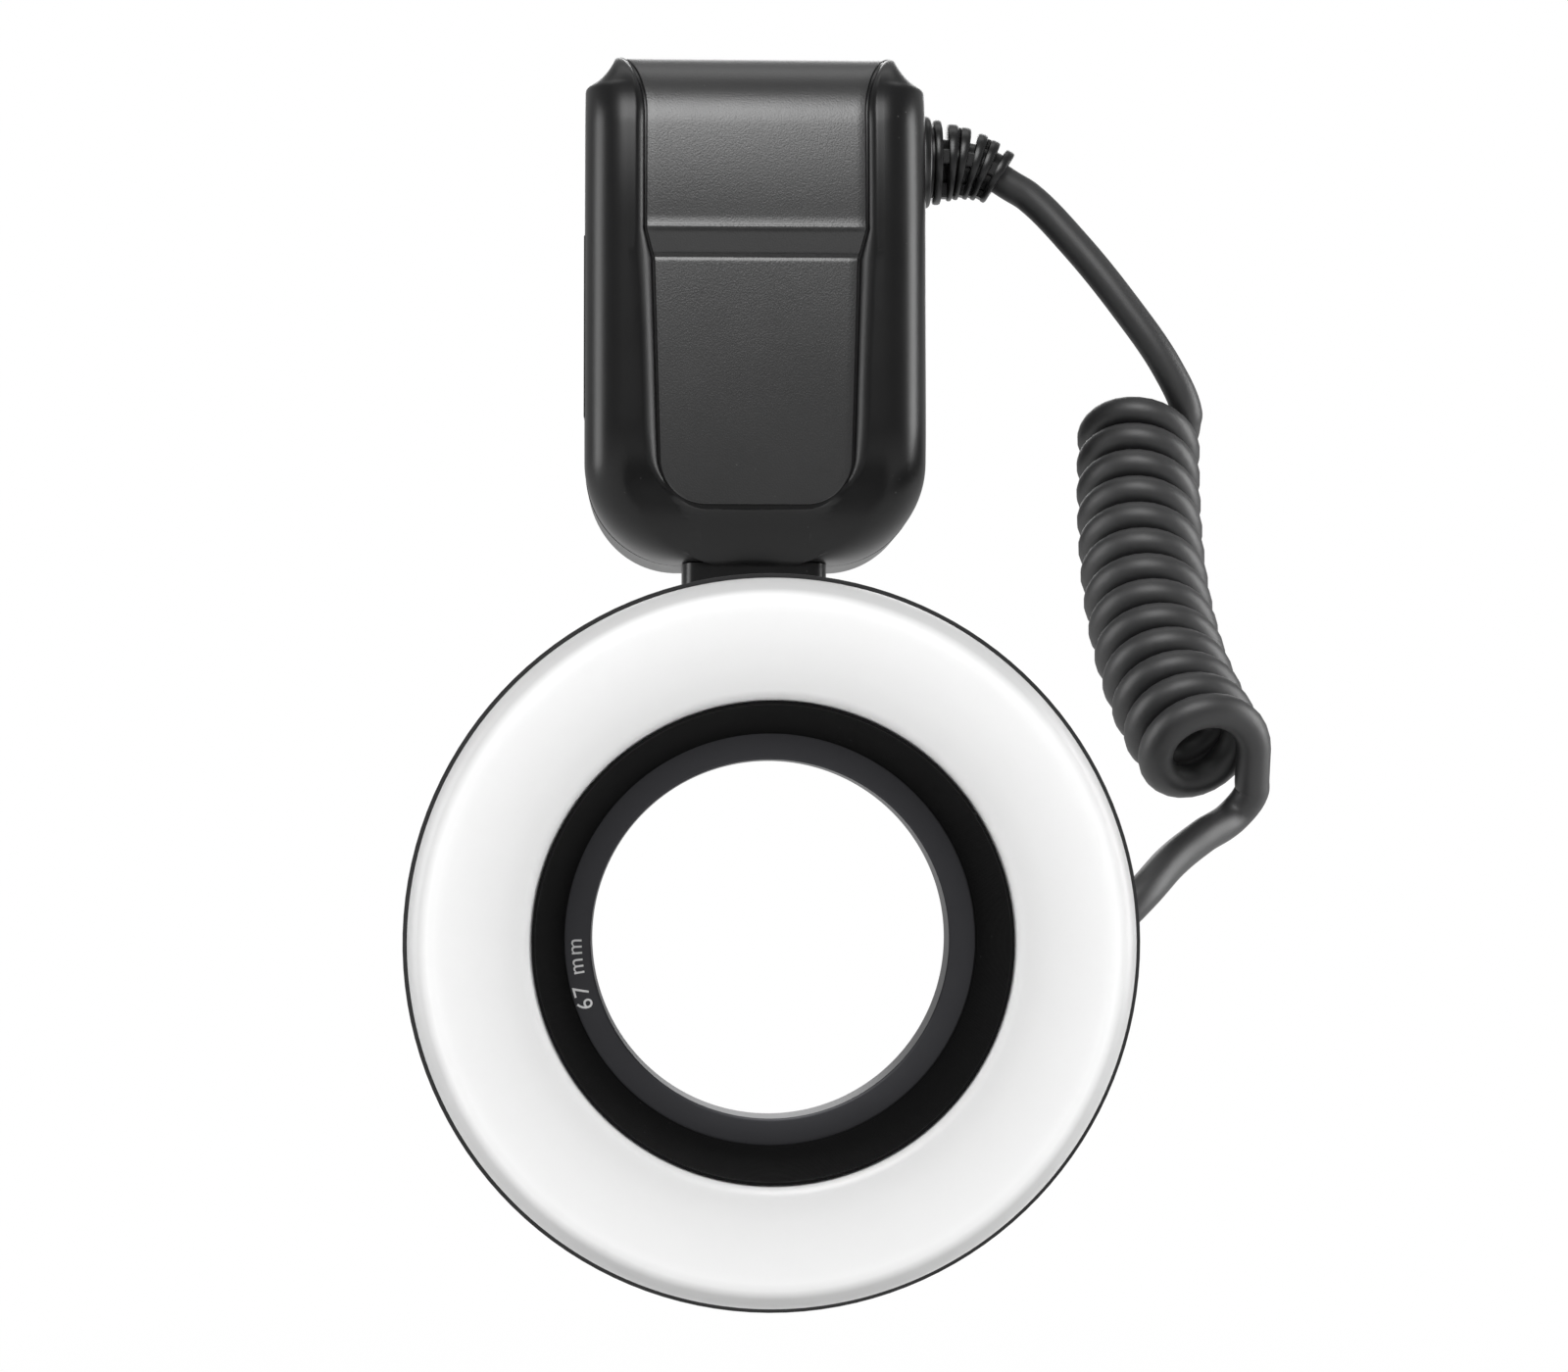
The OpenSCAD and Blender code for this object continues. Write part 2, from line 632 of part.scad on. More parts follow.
module rear_cover() color("#2b2b2d") difference() {
    union() {
        difference() {
            body_form(0, 0, rear_d);
            body_form(wall, -1, inner_back);
        }
        intersection() {
            body_form(wall / 2, 0, inner_back + wall / 2);
            screw_bosses(0, rear_d);
        }
        relief_boss(1);
    }
    on_rear(0, window_at, inner_back - 1) linear_extrude(wall + 2) rounded(window_w - 6, window_tall - 6, 1);
    on_rear(0, window_at, rear_d - window_t) linear_extrude(window_t + 1) rounded(window_w, window_tall, 3);
    for (i = [1 : 4]) on_rear(key_x(i), key_at, inner_back - 1)
        linear_extrude(wall + 2) rounded(key_w + 2 * slip, key_h + 2 * slip, 1.5);
    for (p = [mode_place, sync_place, test_place]) on_rear(p.x, p.y, inner_back - 1)
        cylinder(r = round_key_r + slip, h = wall + 2);
    on_rear(0, dial_at, inner_back - 1) cylinder(r = dial_r + slip, h = wall + 2);
    on_rear(switch_place.x, switch_place.y, inner_back - 1) linear_extrude(wall + 2)
        rounded(switch_w + switch_travel + 2 * slip, switch_h_face + 2 * slip, 1.5);
    screw_holes(screw_r + fit, -1, rear_d + 1);
    screw_holes(head_r + slip, rear_d - head_h - 0.4, rear_d + 1);
    relief_hole();
    translate([body_w / 2 - cover_depth, hinge_y - cover_w - 2 * slip, body_z + cover_at - cover_h / 2 - slip])
        cube([cover_depth + 1, cover_w + hinge_r + 4 * slip, cover_h + 2 * slip]);
    translate([body_w / 2, usb_y, body_z + usb_up]) rotate([0, -90, 0]) linear_extrude(2 * wall)
        rounded(usb_w + 2 * slip, usb_t + 2 * slip, 1.5);
    translate([body_w / 2, jack_y, body_z + jack_up]) rotate([0, -90, 0]) cylinder(r = jack_r + slip, h = 2 * wall);
}

module lcd_window() color("#15181a") on_rear(0, window_at, rear_d - window_t)
    linear_extrude(window_t) rounded(window_w - 0.4, window_tall - 0.4, 2.8);

module lcd_module() color("#5d6660") on_rear(0, window_at, board_back)
    linear_extrude(board_gap) rounded(window_w - 2, window_tall - 2, 1);

// Buttons: a cap that stands out of the cover, a flange behind it, and a stem to its switch
key_top = rear_d + key_proud;
flange_top = inner_back - slip;
stem_end = board_back + switch_h + key_travel + 0.2;
module key_stem(r) {
    translate([0, 0, stem_end]) cylinder(r = r, h = flange_top - stem_end);
}
module key_cap(w, h) rotate([-90, 0, 0]) {
    translate([0, 0, flange_top - key_flange_t]) linear_extrude(key_flange_t)
        rounded(w + 2 * key_flange, h + 2 * key_flange, 1);
    translate([0, 0, flange_top - key_flange_t]) linear_extrude(key_top - flange_top + key_flange_t)
        rounded(w, h, 1.2);
    key_stem(1.6);
}
module round_cap(r) rotate([-90, 0, 0]) {
    translate([0, 0, flange_top - key_flange_t]) cylinder(r = r + key_flange, h = key_flange_t);
    translate([0, 0, flange_top - key_flange_t]) cylinder(r = r, h = key_top - flange_top + key_flange_t);
    key_stem(1.6);
}
module at_key(p) translate([p.x, 0, body_z + p.y]) children();

module function_button(i) color("#232325") at_key([key_x(i), key_at]) key_cap(key_w, key_h);
module mode_button() color("#232325") at_key(mode_place) round_cap(round_key_r);
module sync_button() color("#232325") at_key(sync_place) round_cap(round_key_r);
module test_button() color("#b03020") at_key(test_place) round_cap(round_key_r);

// Dial: a ring with grip notches that turns on the encoder round its inner edge
encoder_h = 3.2;
dial_low = board_back + encoder_h + slip;
dial_top = rear_d + 1.6;
notches = 32;
notch_r = 0.55;
module select_dial() color("#1e1e20") at_key([0, dial_at]) rotate([-90, 0, 0]) difference() {
    translate([0, 0, dial_low]) cylinder(r = dial_r, h = dial_top - dial_low);
    translate([0, 0, dial_low - 1]) cylinder(r = dial_bore_r, h = dial_top - dial_low + 2);
    for (i = [0 : notches - 1]) rotate(360 * i / notches) translate([dial_r, 0, rear_d + 0.2])
        cylinder(r = notch_r, h = dial_top, $fn = 8);
}
module set_button() color("#2b2b2d") at_key([0, dial_at]) rotate([-90, 0, 0]) {
    translate([0, 0, dial_low + 1]) cylinder(r = set_r, h = key_top - dial_low - 1);
    key_stem(3);
}

// Power switch: a cap in a slot, at rest at its off end
switch_rest = -switch_travel / 2;
module power_switch() color("#d8d8d8") at_key(switch_place) rotate([-90, 0, 0]) translate([switch_rest, 0, 0]) {
    translate([0, 0, flange_top - key_flange_t]) linear_extrude(key_flange_t)
        rounded(switch_w + 2, switch_h_face + 2 * key_flange, 1);
    translate([0, 0, flange_top - key_flange_t]) linear_extrude(key_top - flange_top + key_flange_t)
        rounded(switch_w, switch_h_face, 1.2);
    translate([0, 0, switch_body_h + board_back + slip])
        cylinder(r = 1.4, h = flange_top - board_back - switch_body_h - slip);
}
switch_body_h = 3;

module main_board() color("#1d5b3a") difference() {
    union() {
        translate([-board_w / 2, board_front, body_z + board_low])
            cube([board_w, board_t, board_high - board_low]);
        for (p = concat([for (i = [1 : 4]) [key_x(i), key_at]], [mode_place, sync_place, test_place, [0, dial_at]]))
            on_rear(p.x, p.y, board_back) cylinder(r = 2.4, h = switch_h);
        on_rear(switch_place.x, switch_place.y, board_back) translate([-5, -3, 0]) cube([10, 6, switch_body_h]);
        on_rear(0, dial_at, board_back) difference() {
            cylinder(r = dial_r - 1, h = encoder_h);
            translate([0, 0, -1]) cylinder(r = dial_bore_r, h = encoder_h + 2);
        }
        for (x = [-1, 1]) on_rear(x * (board_w / 2 - pillar_edge), board_high - 3, board_back)
            cylinder(r = pillar_r, h = board_gap);
        for (x = [-1, 1]) on_rear(x * pillar_x, board_low + 2.5, board_back) cylinder(r = pillar_r, h = board_gap);
    }
    for (x = [-1, 1]) on_rear(x * pillar_x, board_low + 2.5, board_front - 1) cylinder(r = 0.8, h = board_gap);
}

module flash_capacitor() color("#2c3f66") capacitor_form(0);

winding_base = 74;
winding_up = winding_base * tall;
winding_h = 18;
winding_w = 18;
winding_d = 14;
winding_r = 6.4;
cheek_t = 4;
module step_up_transformer() color("#8a6a2c") translate([0, 0, body_z + winding_up]) {
    for (z = [0, winding_h - cheek_t]) translate([-winding_w / 2, board_front - winding_d, z])
        cube([winding_w, winding_d, cheek_t]);
    translate([0, board_front - winding_d / 2, cheek_t - 1]) cylinder(r = winding_r, h = winding_h - 2 * cheek_t + 2);
}

module cover_screws() color("#9a9a9a") for (p = screw_places) translate([p.x, rear_d - 0.4, body_z + p.y])
    rotate([90, 0, 0]) difference() {
        union() {
            cylinder(r = head_r, h = head_h);
            cylinder(r = screw_r, h = rear_d + 8);
        }
        translate([0, 0, -0.1]) linear_extrude(0.8) {
            square([2.6, 0.6], center = true);
            square([0.6, 2.6], center = true);
        }
    }

base_back = base_l / 2 + 3;
module shoe_base() color("#262628") difference() {
    translate([0, base_back - base_l / 2, base_z]) linear_extrude(base_h) rounded(base_w, base_l, 4);
    translate([0, 0, base_z - 1]) cylinder(r = post_r + fit, h = base_h - 1);
}

contact_r = 1.2;
contact_out = 0.5;
contact_travel = 0.6;
contact_l = 3.4;
contact_places = [[0, 0], [-3.4, 3.4], [3.4, 3.4], [-3.4, -2], [3.4, -2]];
module shoe_foot() color("#b9babd") difference() {
    union() {
        linear_extrude(foot_t) rounded(foot_w, foot_l, 1.2);
        translate([-neck_w / 2, -foot_l / 2 + 0.5, 0]) cube([neck_w, foot_l - 1, neck_top]);
        cylinder(r = post_r, h = base_z + base_h - 2.2);
    }
    translate([0, -lock_pin_y - lock_pin_r, -1]) cylinder(r = lock_pin_r + slip / 2, h = neck_top + 2);
    for (p = contact_places) translate([p.x, p.y, -1])
        cylinder(r = contact_r + slip / 2, h = 1 - contact_out + contact_l + contact_travel + slip);
}

module contact_pins() color("#c8a64b") for (p = contact_places) translate([p.x, p.y, -contact_out]) {
    translate([0, 0, contact_r / 2]) cylinder(r = contact_r, h = contact_l - contact_r / 2);
    cylinder(r1 = contact_r / 2, r2 = contact_r, h = contact_r / 2);
}

lever_hub_r = 12.5;
module lock_lever() color("#2a2a2c") translate([0, 0, lever_z]) difference() {
    union() {
        cylinder(r = lever_hub_r, h = lever_t);
        translate([-4.5, 0, 0]) cube([9, lever_reach - 4.5, lever_t]);
        translate([0, lever_reach - 4.5, 0]) cylinder(r = 4.5, h = lever_t);
    }
    translate([0, 0, -1]) cylinder(r = post_r + slip, h = lever_t + 2);
}

module lock_pin() color("#c4c5c8") translate([0, -lock_pin_y - lock_pin_r, 0.3])
    cylinder(r = lock_pin_r, h = neck_top - 0.4);

module battery_bay() color("#202022") difference() {
    intersection() {
        battery_form(slip + bay_wall, -body_w / 2 + front_wall, battery_x + battery_l + slip + bay_wall);
        body_form(front_wall + fit, -front_d + panel_backing + fit, 1);
    }
    battery_form(slip, -body_w, battery_x + battery_l + slip);
}

release_up = 9;
module release_form(g, depth) translate([battery_x - 1, battery_front + battery_t / 2 - release_w / 2 - g,
    body_z + battery_up + release_up - release_h / 2 - g]) cube([1 + depth, release_w + 2 * g, release_h + 2 * g]);
module battery() color("#303033") difference() {
    battery_form(0, battery_x, battery_x + battery_l);
    release_form(slip, release_t + release_travel + slip);
    for (i = [0 : 4]) translate([battery_x - 1, battery_front + 2, body_z + battery_up + 20 + 3 * i])
        cube([1.6, battery_t - 4, 1.2]);
}
module battery_release() color("#3d3d40") intersection() {
    release_form(0, release_t);
    translate([battery_x, -front_d, body_z]) cube([release_t, front_d, body_h]);
}

module port_cover() color("#242426") translate([0, 0, body_z + cover_at - cover_h / 2]) {
    translate([hinge_x - hinge_r, hinge_y - cover_w, 0]) cube([cover_t, cover_w, cover_h]);
    translate([hinge_x, hinge_y, 0]) cylinder(r = hinge_r, h = cover_h);
    translate([hinge_x - hinge_r + cover_t, hinge_y - cover_w + 1, cover_h / 2 - 5]) cube([0.5, 1.5, 10]);
}

usb_w = 9;
usb_t = 3.3;
usb_base = 50;
usb_up = usb_base * tall;
usb_y = board_front - usb_t / 2;
jack_r = 2.9;
jack_base = 36;
jack_up = jack_base * tall;
jack_y = board_front - jack_r - 0.5;
socket_face = body_w / 2 - wall - 0.2;
module usb_socket() color("#b8babd") translate([socket_face, usb_y, body_z + usb_up]) rotate([0, -90, 0])
    difference() {
        linear_extrude(8) rounded(usb_w, usb_t, 1.5);
        translate([0, 0, -1]) linear_extrude(6.5) difference() {
            rounded(usb_w - 0.6, usb_t - 0.6, 1.2);
            square([usb_w - 2.4, 0.7], center = true);
        }
    }
module sync_socket() color("#1c1c1e") translate([socket_face, jack_y, body_z + jack_up]) rotate([0, -90, 0])
    difference() {
        union() {
            cylinder(r = jack_r, h = 4);
            translate([-jack_r - 0.6, -jack_r - 0.5, 2]) cube([2 * jack_r + 1.2, 2 * jack_r + 1, 10]);
        }
        translate([0, 0, -1]) cylinder(r = 1.8, h = 9);
    }

// Strain relief along +X: collars, then ribs on a core that bends by an angle, with the ribs
// joined in turn at the sides and at the top and bottom
module relief(bend, neck, inner) {
    translate([-neck, 0, 0]) rotate([0, 90, 0]) cylinder(r = relief_neck_r, h = neck + collar_l);
    if (inner) translate([-neck, 0, 0]) rotate([0, 90, 0]) cylinder(r = relief_neck_r + 1.4, h = 1.2);
    rotate([0, 90, 0]) cylinder(r = relief_r, h = collar_t);
    translate([collar_t + collar_groove, 0, 0]) rotate([0, 90, 0]) cylinder(r = relief_r - 0.3, h = collar_t);
    translate([collar_t - 0.1, 0, 0]) rotate([0, 90, 0]) cylinder(r = relief_r - 1.8, h = collar_groove + 0.2);
    if (bend == 0) translate([collar_l - 0.1, 0, 0]) rotate([0, 90, 0]) cylinder(r = relief_core_r, h = relief_l);
    else translate([collar_l, 0, -relief_bend_r(bend)]) rotate([0, -90, -90])
        rotate_extrude(angle = bend) translate([relief_bend_r(bend), 0]) circle(relief_core_r);
    for (i = [1 : relief_steps]) {
        r = relief_fin_r(i);
        end = i / relief_steps;
        middle = (i - 0.5) / relief_steps;
        translate(relief_at(end, bend)) rotate([0, 90 + bend * end, 0]) translate([0, 0, -relief_rib_t])
            cylinder(r = r, h = relief_rib_t);
        translate(relief_at(middle, bend)) rotate([0, 90 + bend * middle, 0]) rotate(i % 2 == 0 ? 0 : 90)
            for (s = [0, 180]) rotate(s) translate([relief_core_r - 1, -relief_bar_w / 2, -relief_step_l / 2 - 0.1])
                cube([r - relief_core_r + 0.6, relief_bar_w, relief_step_l]);
    }
}
function relief_fin_r(i) = relief_r - 0.6 + (relief_end_r - relief_r + 0.6) * i / relief_steps;
neck_l = front_wall + relief_boss_h + 1.2;
module upper_relief() color("#2a2a2c") translate([relief_x, 0, relief_z]) relief(upper_bend, neck_l, true);
module lower_relief() color("#2a2a2c") translate(lower_start) rotate([0, -lower_tilt, 0])
    relief(0, lower_boss_l - 2, false);

module cord_upper() color("#3f3f42") lead(upper_path, [0, 1, 0.2]);
module cord_coil() color("#3f3f42") tube(coil_path, coil_refs, cord_d / 2, curl_sides);
module cord_lower() color("#3f3f42") lead(lower_path, [1, 0, -1]);

// The housing's boss that the ring-end relief plugs into, on the back of the ring
lower_boss_start = lower_start - lower_boss_l * lower_dir;
module lower_boss() difference() {
    union() {
        translate(lower_boss_start) rotate([0, 90 - lower_tilt, 0]) cylinder(r = lower_boss_r, h = lower_boss_l);
        translate(lower_boss_start) rotate([0, -lower_tilt, 0])
            translate([0, -(ring_back + 0.5 + lower_end.y), -lower_boss_r + 1])
            cube([lower_boss_l, ring_back + 0.5 + lower_end.y, 2 * lower_boss_r - 2]);
    }
    translate(lower_boss_start + 2 * lower_dir) rotate([0, 90 - lower_tilt, 0])
        cylinder(r = relief_neck_r + fit, h = lower_boss_l);
}

module ring_posts(r, from, to) for (a = [post_angle : 90 : 360]) rotate(a) translate([post_ring_r, 0, from])
    cylinder(r = r, h = to - from);

rim_lip = 0.7;
module ring_housing() color("#1f1f21") {
    on_ring() difference() {
        union() {
            rotate_extrude() polygon([[opening_r, ring_back], [rim_r - back_slope_w - back_edge_w, ring_back],
                [rim_r - back_slope_w, ring_back + 1],
                [rim_r, rim_back], [rim_r, rim_front], [rim_r - rim_lip, rim_front],
                [rim_r - rim_lip, diffuser_seat], [rim_r - ring_wall, diffuser_seat],
                [rim_r - ring_wall, rim_back + 1], [rim_r - back_slope_w - ring_wall, floor_top],
                [opening_r, floor_top]]);
            ring_posts(ring_post_r, floor_top - 0.5, trigger_low);
        }
        ring_posts(screw_r + fit, ring_back - 1, trigger_high);
        ring_posts(head_r + slip, ring_back - 1, ring_back + head_h - 0.2);
        for (s = [-1, 1]) translate([s * (rim_r - 4) - 7, -latch_button_w / 2 - slip, latch_button_low - slip])
            cube([14, latch_button_w + 2 * slip, latch_button_h + 2 * slip]);
    }
    lower_boss();
}

// Diffuser: a milky cap whose front rounds over at both edges
diffuser_in = bore_r + 0.4;
diffuser_inner_edge_r = 2.4;
diffuser_out = diffuser_r - fit;
module diffuser() color("#e9e9e6") on_ring() rotate_extrude() polygon(concat(
    [[diffuser_out, diffuser_seat]],
    arc(diffuser_out - diffuser_edge_r, ring_reach - diffuser_edge_r, diffuser_edge_r, 0, 90, 6),
    arc(diffuser_in + diffuser_inner_edge_r, ring_reach - diffuser_inner_edge_r, diffuser_inner_edge_r, 90, 180, 4),
    [[diffuser_in, liner_step], [diffuser_in + diffuser_t, liner_step]],
    arc(diffuser_in + diffuser_inner_edge_r, ring_reach - diffuser_inner_edge_r,
        diffuser_inner_edge_r - diffuser_t, 180, 90, 3),
    arc(diffuser_out - diffuser_edge_r, ring_reach - diffuser_edge_r, diffuser_edge_r - diffuser_t, 90, 0, 6),
    [[diffuser_out - diffuser_t, diffuser_seat]]));

// Black funnel of the view opening, with fine grooves turned into its wall
liner_step = ring_reach - 4;
groove_count = 14;
funnel_run = (bore_r - lip_r) / (liner_front - liner_top);
function funnel_r(z) = lip_r + (z - liner_top) * funnel_run;
module bore_liner() color("#141415") on_ring() difference() {
    union() {
        rotate_extrude() polygon([[lip_r, trigger_high], [plate_r, trigger_high], [plate_r, liner_top],
            [liner_tube_r + liner_t, liner_top], [liner_tube_r + liner_t, liner_step - fit],
            [diffuser_in - fit, liner_step - fit], [diffuser_in - fit, liner_front], [bore_r, liner_front],
            [lip_r, liner_top]]);
    }
    rotate_extrude() for (i = [1 : groove_count]) let (z = liner_top + (liner_front - liner_top) * i / (groove_count + 1))
        polygon([[funnel_r(z) - 0.2, z - 0.3], [funnel_r(z) + 0.25, z], [funnel_r(z) - 0.2, z + 0.3]]);
    ring_posts(screw_r + fit, trigger_high - 1, liner_top + 1);
}

module reflector() color("#cfd2d6") on_ring() rotate_extrude() polygon([[reflector_in, liner_top],
    [reflector_out - reflector_lean, liner_top], [reflector_out, reflector_top],
    [reflector_out - reflector_t, reflector_top],
    [reflector_out - reflector_lean - reflector_t, liner_top + reflector_t],
    [reflector_in + reflector_t, liner_top + reflector_t],
    [reflector_in + reflector_t, reflector_top], [reflector_in, reflector_top]]);

module tube_arc(r, from, to) translate([0, 0, tube_z]) rotate(from) rotate_extrude(angle = to - from)
    translate([tube_ring_r, 0]) circle(r);
module flash_tube_right() color("#dfe6ea") on_ring() tube_arc(tube_r, -tube_span, tube_span);
module flash_tube_left() color("#dfe6ea") on_ring() tube_arc(tube_r, 180 - tube_span, 180 + tube_span);

module tube_holders() color("#e2e2df") on_ring() difference() {
    for (a = [holder_angle, 180 - holder_angle, 180 + holder_angle, -holder_angle]) rotate(a)
        translate([tube_ring_r - holder_half, -holder_l / 2, liner_top + reflector_t])
            cube([2 * holder_half, holder_l, tube_z + tube_r - liner_top - reflector_t + 1]);
    for (turn = [0, 180]) rotate(turn) tube_arc(tube_r + fit, -tube_span, tube_span);
}

part_l = 5;
module trigger_board() color("#1d5b3a") on_ring() difference() {
    union() {
        translate([0, 0, trigger_low]) cylinder(r = plate_r, h = board_t);
        for (a = [70, 110]) rotate(a) translate([plate_r - part_l - 0.4, -part_l / 2, floor_top + 0.6])
            cube([part_l, part_l, trigger_low - floor_top - 0.5]);
    }
    translate([0, 0, trigger_low - 1]) cylinder(r = opening_r + 4, h = board_t + 2);
    ring_posts(screw_r + fit, trigger_low - 1, trigger_high + 1);
}

// A latch: a flat ring round the opening, with a stem for its button on one side and a jaw on the other.
// Pressing the button draws the jaw out from under the adapter's flange.
module latch_hole(h) {
    for (x = [-latch_travel, 0]) translate([x, 0, 0]) cylinder(r = latch_hole_r, h = h);
    translate([-latch_travel, -latch_hole_r, 0]) cube([latch_travel, 2 * latch_hole_r, h]);
}
module latch_stem(low) translate([-stem_tip, -latch_button_w / 2 + 1, low])
    cube([stem_tip - stem_in, latch_button_w - 2, latch_t]);
module release_latch(low) difference() {
    union() {
        translate([0, 0, low]) cylinder(r = latch_out_r, h = latch_t);
        latch_stem(low);
    }
    difference() {
        translate([0, 0, low - 1]) latch_hole(latch_t + 2);
        translate([jaw_r - 5, -jaw_w / 2, low - 1]) cube([latch_hole_r, jaw_w, latch_t + 2]);
    }
    translate([0, 0, low - 1]) cylinder(r = jaw_r, h = latch_t + 2);
}
module release_latch_left() color("#2a2a2c") on_ring() release_latch(latch_low);
module release_latch_right() color("#2a2a2c") on_ring() mirror([1, 0, 0]) release_latch(latch_high);

// A latch's button, pushed onto the tip of the stem
module latch_button(low) difference() {
    translate([-latch_button_r, -latch_button_w / 2, latch_button_low])
        cube([latch_button_l, latch_button_w, latch_button_h]);
    latch_stem(low);
}
module latch_button_left() color("#2a2a2c") on_ring() latch_button(latch_low);
module latch_button_right() color("#2a2a2c") on_ring() mirror([1, 0, 0]) latch_button(latch_high);

thread_r = thread_d / 2;
adapter_back = ring_back - thread_l + 0.5;
module adapter_ring() color("#4a4a4d") on_ring() rotate_extrude() polygon([[adapter_bore_d / 2, adapter_face],
    [flange_d / 2, adapter_face], [flange_d / 2, adapter_flange_low + 0.4],
    [flange_d / 2 - 0.4, adapter_flange_low], [adapter_bore_d / 2, adapter_flange_low]]);
// The barrel that carries the flange and screws into the lens
module adapter_barrel() color("#4a4a4d") on_ring() rotate_extrude() polygon([
    [adapter_bore_d / 2, adapter_flange_low], [adapter_body_r, adapter_flange_low],
    [adapter_body_r, ring_back + 1], [adapter_body_r - 1, ring_back], [thread_r + 1, ring_back],
    [thread_r + 1, ring_back - 0.2], [thread_r, ring_back - 0.2], [thread_r, adapter_back],
    [adapter_bore_d / 2, adapter_back]]);

module ring_screws() color("#9a9a9a") on_ring() difference() {
    union() {
        ring_posts(head_r, ring_back + 0.2, ring_back + head_h - 0.2);
        ring_posts(screw_r, ring_back + 0.5, liner_top - 0.2);
    }
    for (a = [post_angle : 90 : 360]) rotate(a) translate([post_ring_r, 0, ring_back]) linear_extrude(0.8) {
        square([2.6, 0.6], center = true);
        square([0.6, 2.6], center = true);
    }
}

front_cover();
front_panel();
rear_cover();
lcd_window();
lcd_module();
main_board();
flash_capacitor();
step_up_transformer();
cover_screws();
shoe_base();
shoe_foot();
contact_pins();
lock_lever();
lock_pin();
function_button(1);  // function_button_1
function_button(2);  // function_button_2
function_button(3);  // function_button_3
function_button(4);  // function_button_4
select_dial();
set_button();
mode_button();
sync_button();
test_button();
power_switch();
battery_bay();
battery();
battery_release();
port_cover();
usb_socket();
sync_socket();
upper_relief();
cord_upper();
cord_coil();
cord_lower();
lower_relief();
ring_housing();
diffuser();
bore_liner();
reflector();
flash_tube_left();
flash_tube_right();
tube_holders();
trigger_board();
release_latch_left();
latch_button_left();
release_latch_right();
latch_button_right();
adapter_ring();
adapter_barrel();
ring_screws();
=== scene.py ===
"""Macro ring flash: the finish of its solids, and finer meshes for its front, ring, reliefs and cord."""
import math

import bmesh
import bpy
from bpy.props import FloatProperty, FloatVectorProperty, IntProperty, PointerProperty
from mathutils import Euler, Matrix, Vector


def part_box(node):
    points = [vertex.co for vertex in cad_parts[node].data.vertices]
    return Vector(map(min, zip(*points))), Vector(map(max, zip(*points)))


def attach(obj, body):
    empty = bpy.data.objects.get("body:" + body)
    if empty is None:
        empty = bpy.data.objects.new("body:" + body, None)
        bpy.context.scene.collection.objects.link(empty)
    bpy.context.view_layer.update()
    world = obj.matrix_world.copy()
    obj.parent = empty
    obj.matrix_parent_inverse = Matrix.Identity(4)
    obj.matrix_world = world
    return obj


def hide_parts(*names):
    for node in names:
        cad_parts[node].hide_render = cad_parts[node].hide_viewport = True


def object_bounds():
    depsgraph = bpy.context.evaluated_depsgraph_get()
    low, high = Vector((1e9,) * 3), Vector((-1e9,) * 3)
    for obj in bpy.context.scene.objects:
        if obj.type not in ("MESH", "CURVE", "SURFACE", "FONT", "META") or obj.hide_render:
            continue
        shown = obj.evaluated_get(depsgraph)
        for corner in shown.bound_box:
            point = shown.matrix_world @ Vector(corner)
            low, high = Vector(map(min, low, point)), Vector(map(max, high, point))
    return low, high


bl_info = {
    "name": "Macro ring flash",
    "version": (1, 0, 0),
    "blender": (4, 5, 0),
    "location": "3D View > Sidebar > Ring flash",
    "description": "Builds the visible pieces of a macro ring flash round its solids",
    "category": "Object",
}

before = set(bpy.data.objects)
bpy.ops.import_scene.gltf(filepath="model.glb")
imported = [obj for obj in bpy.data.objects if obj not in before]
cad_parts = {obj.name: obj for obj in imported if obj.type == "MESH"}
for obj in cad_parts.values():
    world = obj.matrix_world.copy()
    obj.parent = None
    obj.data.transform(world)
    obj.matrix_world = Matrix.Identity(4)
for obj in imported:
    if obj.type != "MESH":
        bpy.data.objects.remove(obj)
cad_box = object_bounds()

diffuser_low, diffuser_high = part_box("diffuser")
liner_low, liner_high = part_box("bore_liner")
adapter_low, adapter_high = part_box("adapter_ring")
barrel_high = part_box("adapter_barrel")[1]
panel_low, panel_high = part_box("front_panel")
cover_low, cover_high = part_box("front_cover")
rear_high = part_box("rear_cover")[1]
window_low, window_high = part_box("lcd_window")
module_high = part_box("lcd_module")[1]
switch_low, switch_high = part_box("power_switch")

# Points closer than these, in metres, are joined; the steps of a moulded edge, and of a turned one
SAME_POINT, WELD_REACH = 0.0000005, 0.000002
EDGE_STEPS, FILLET_STEP = 3, math.radians(8)

# Height of the axis that every ring piece is turned about
AXIS_Z = (diffuser_low.z + diffuser_high.z) / 2

# The controller's front, in metres: its box, its scooped shoulders and the outline of its panel
BODY_LOW = cover_low.z
BODY_H = cover_high.z - cover_low.z
SIDE = -cover_low.x
FRONT = -cover_low.y
LIFT = Vector((0, 0, BODY_LOW))
SEAM_STEP = 0.00015
SCOOP_OUT, SCOOP_UP = 0.0024, 0.0009
LOW_ROUND, TOP_ROUND = 0.0016, 0.0020
CHIN_EDGE = 0.004
BACKING = 0.006
PANEL_BOTTOM = panel_low.z - BODY_LOW
PANEL_CORNER = 0.0098
PANEL_FOOT, PANEL_LOW, PANEL_HALF, PANEL_TOP = 0.0200, 0.0212, 0.0228, panel_high.x
STEP_UP, STEP_H = 0.0613, 0.0059
FLARE_H = 0.0145
GROOVE = 0.0004
CROWN, CROWN_UP = math.radians(7), 0.069
LOWER_CROWN = 0.0006
PANEL_END, PANEL_LIFT = -0.0007, 0.00008
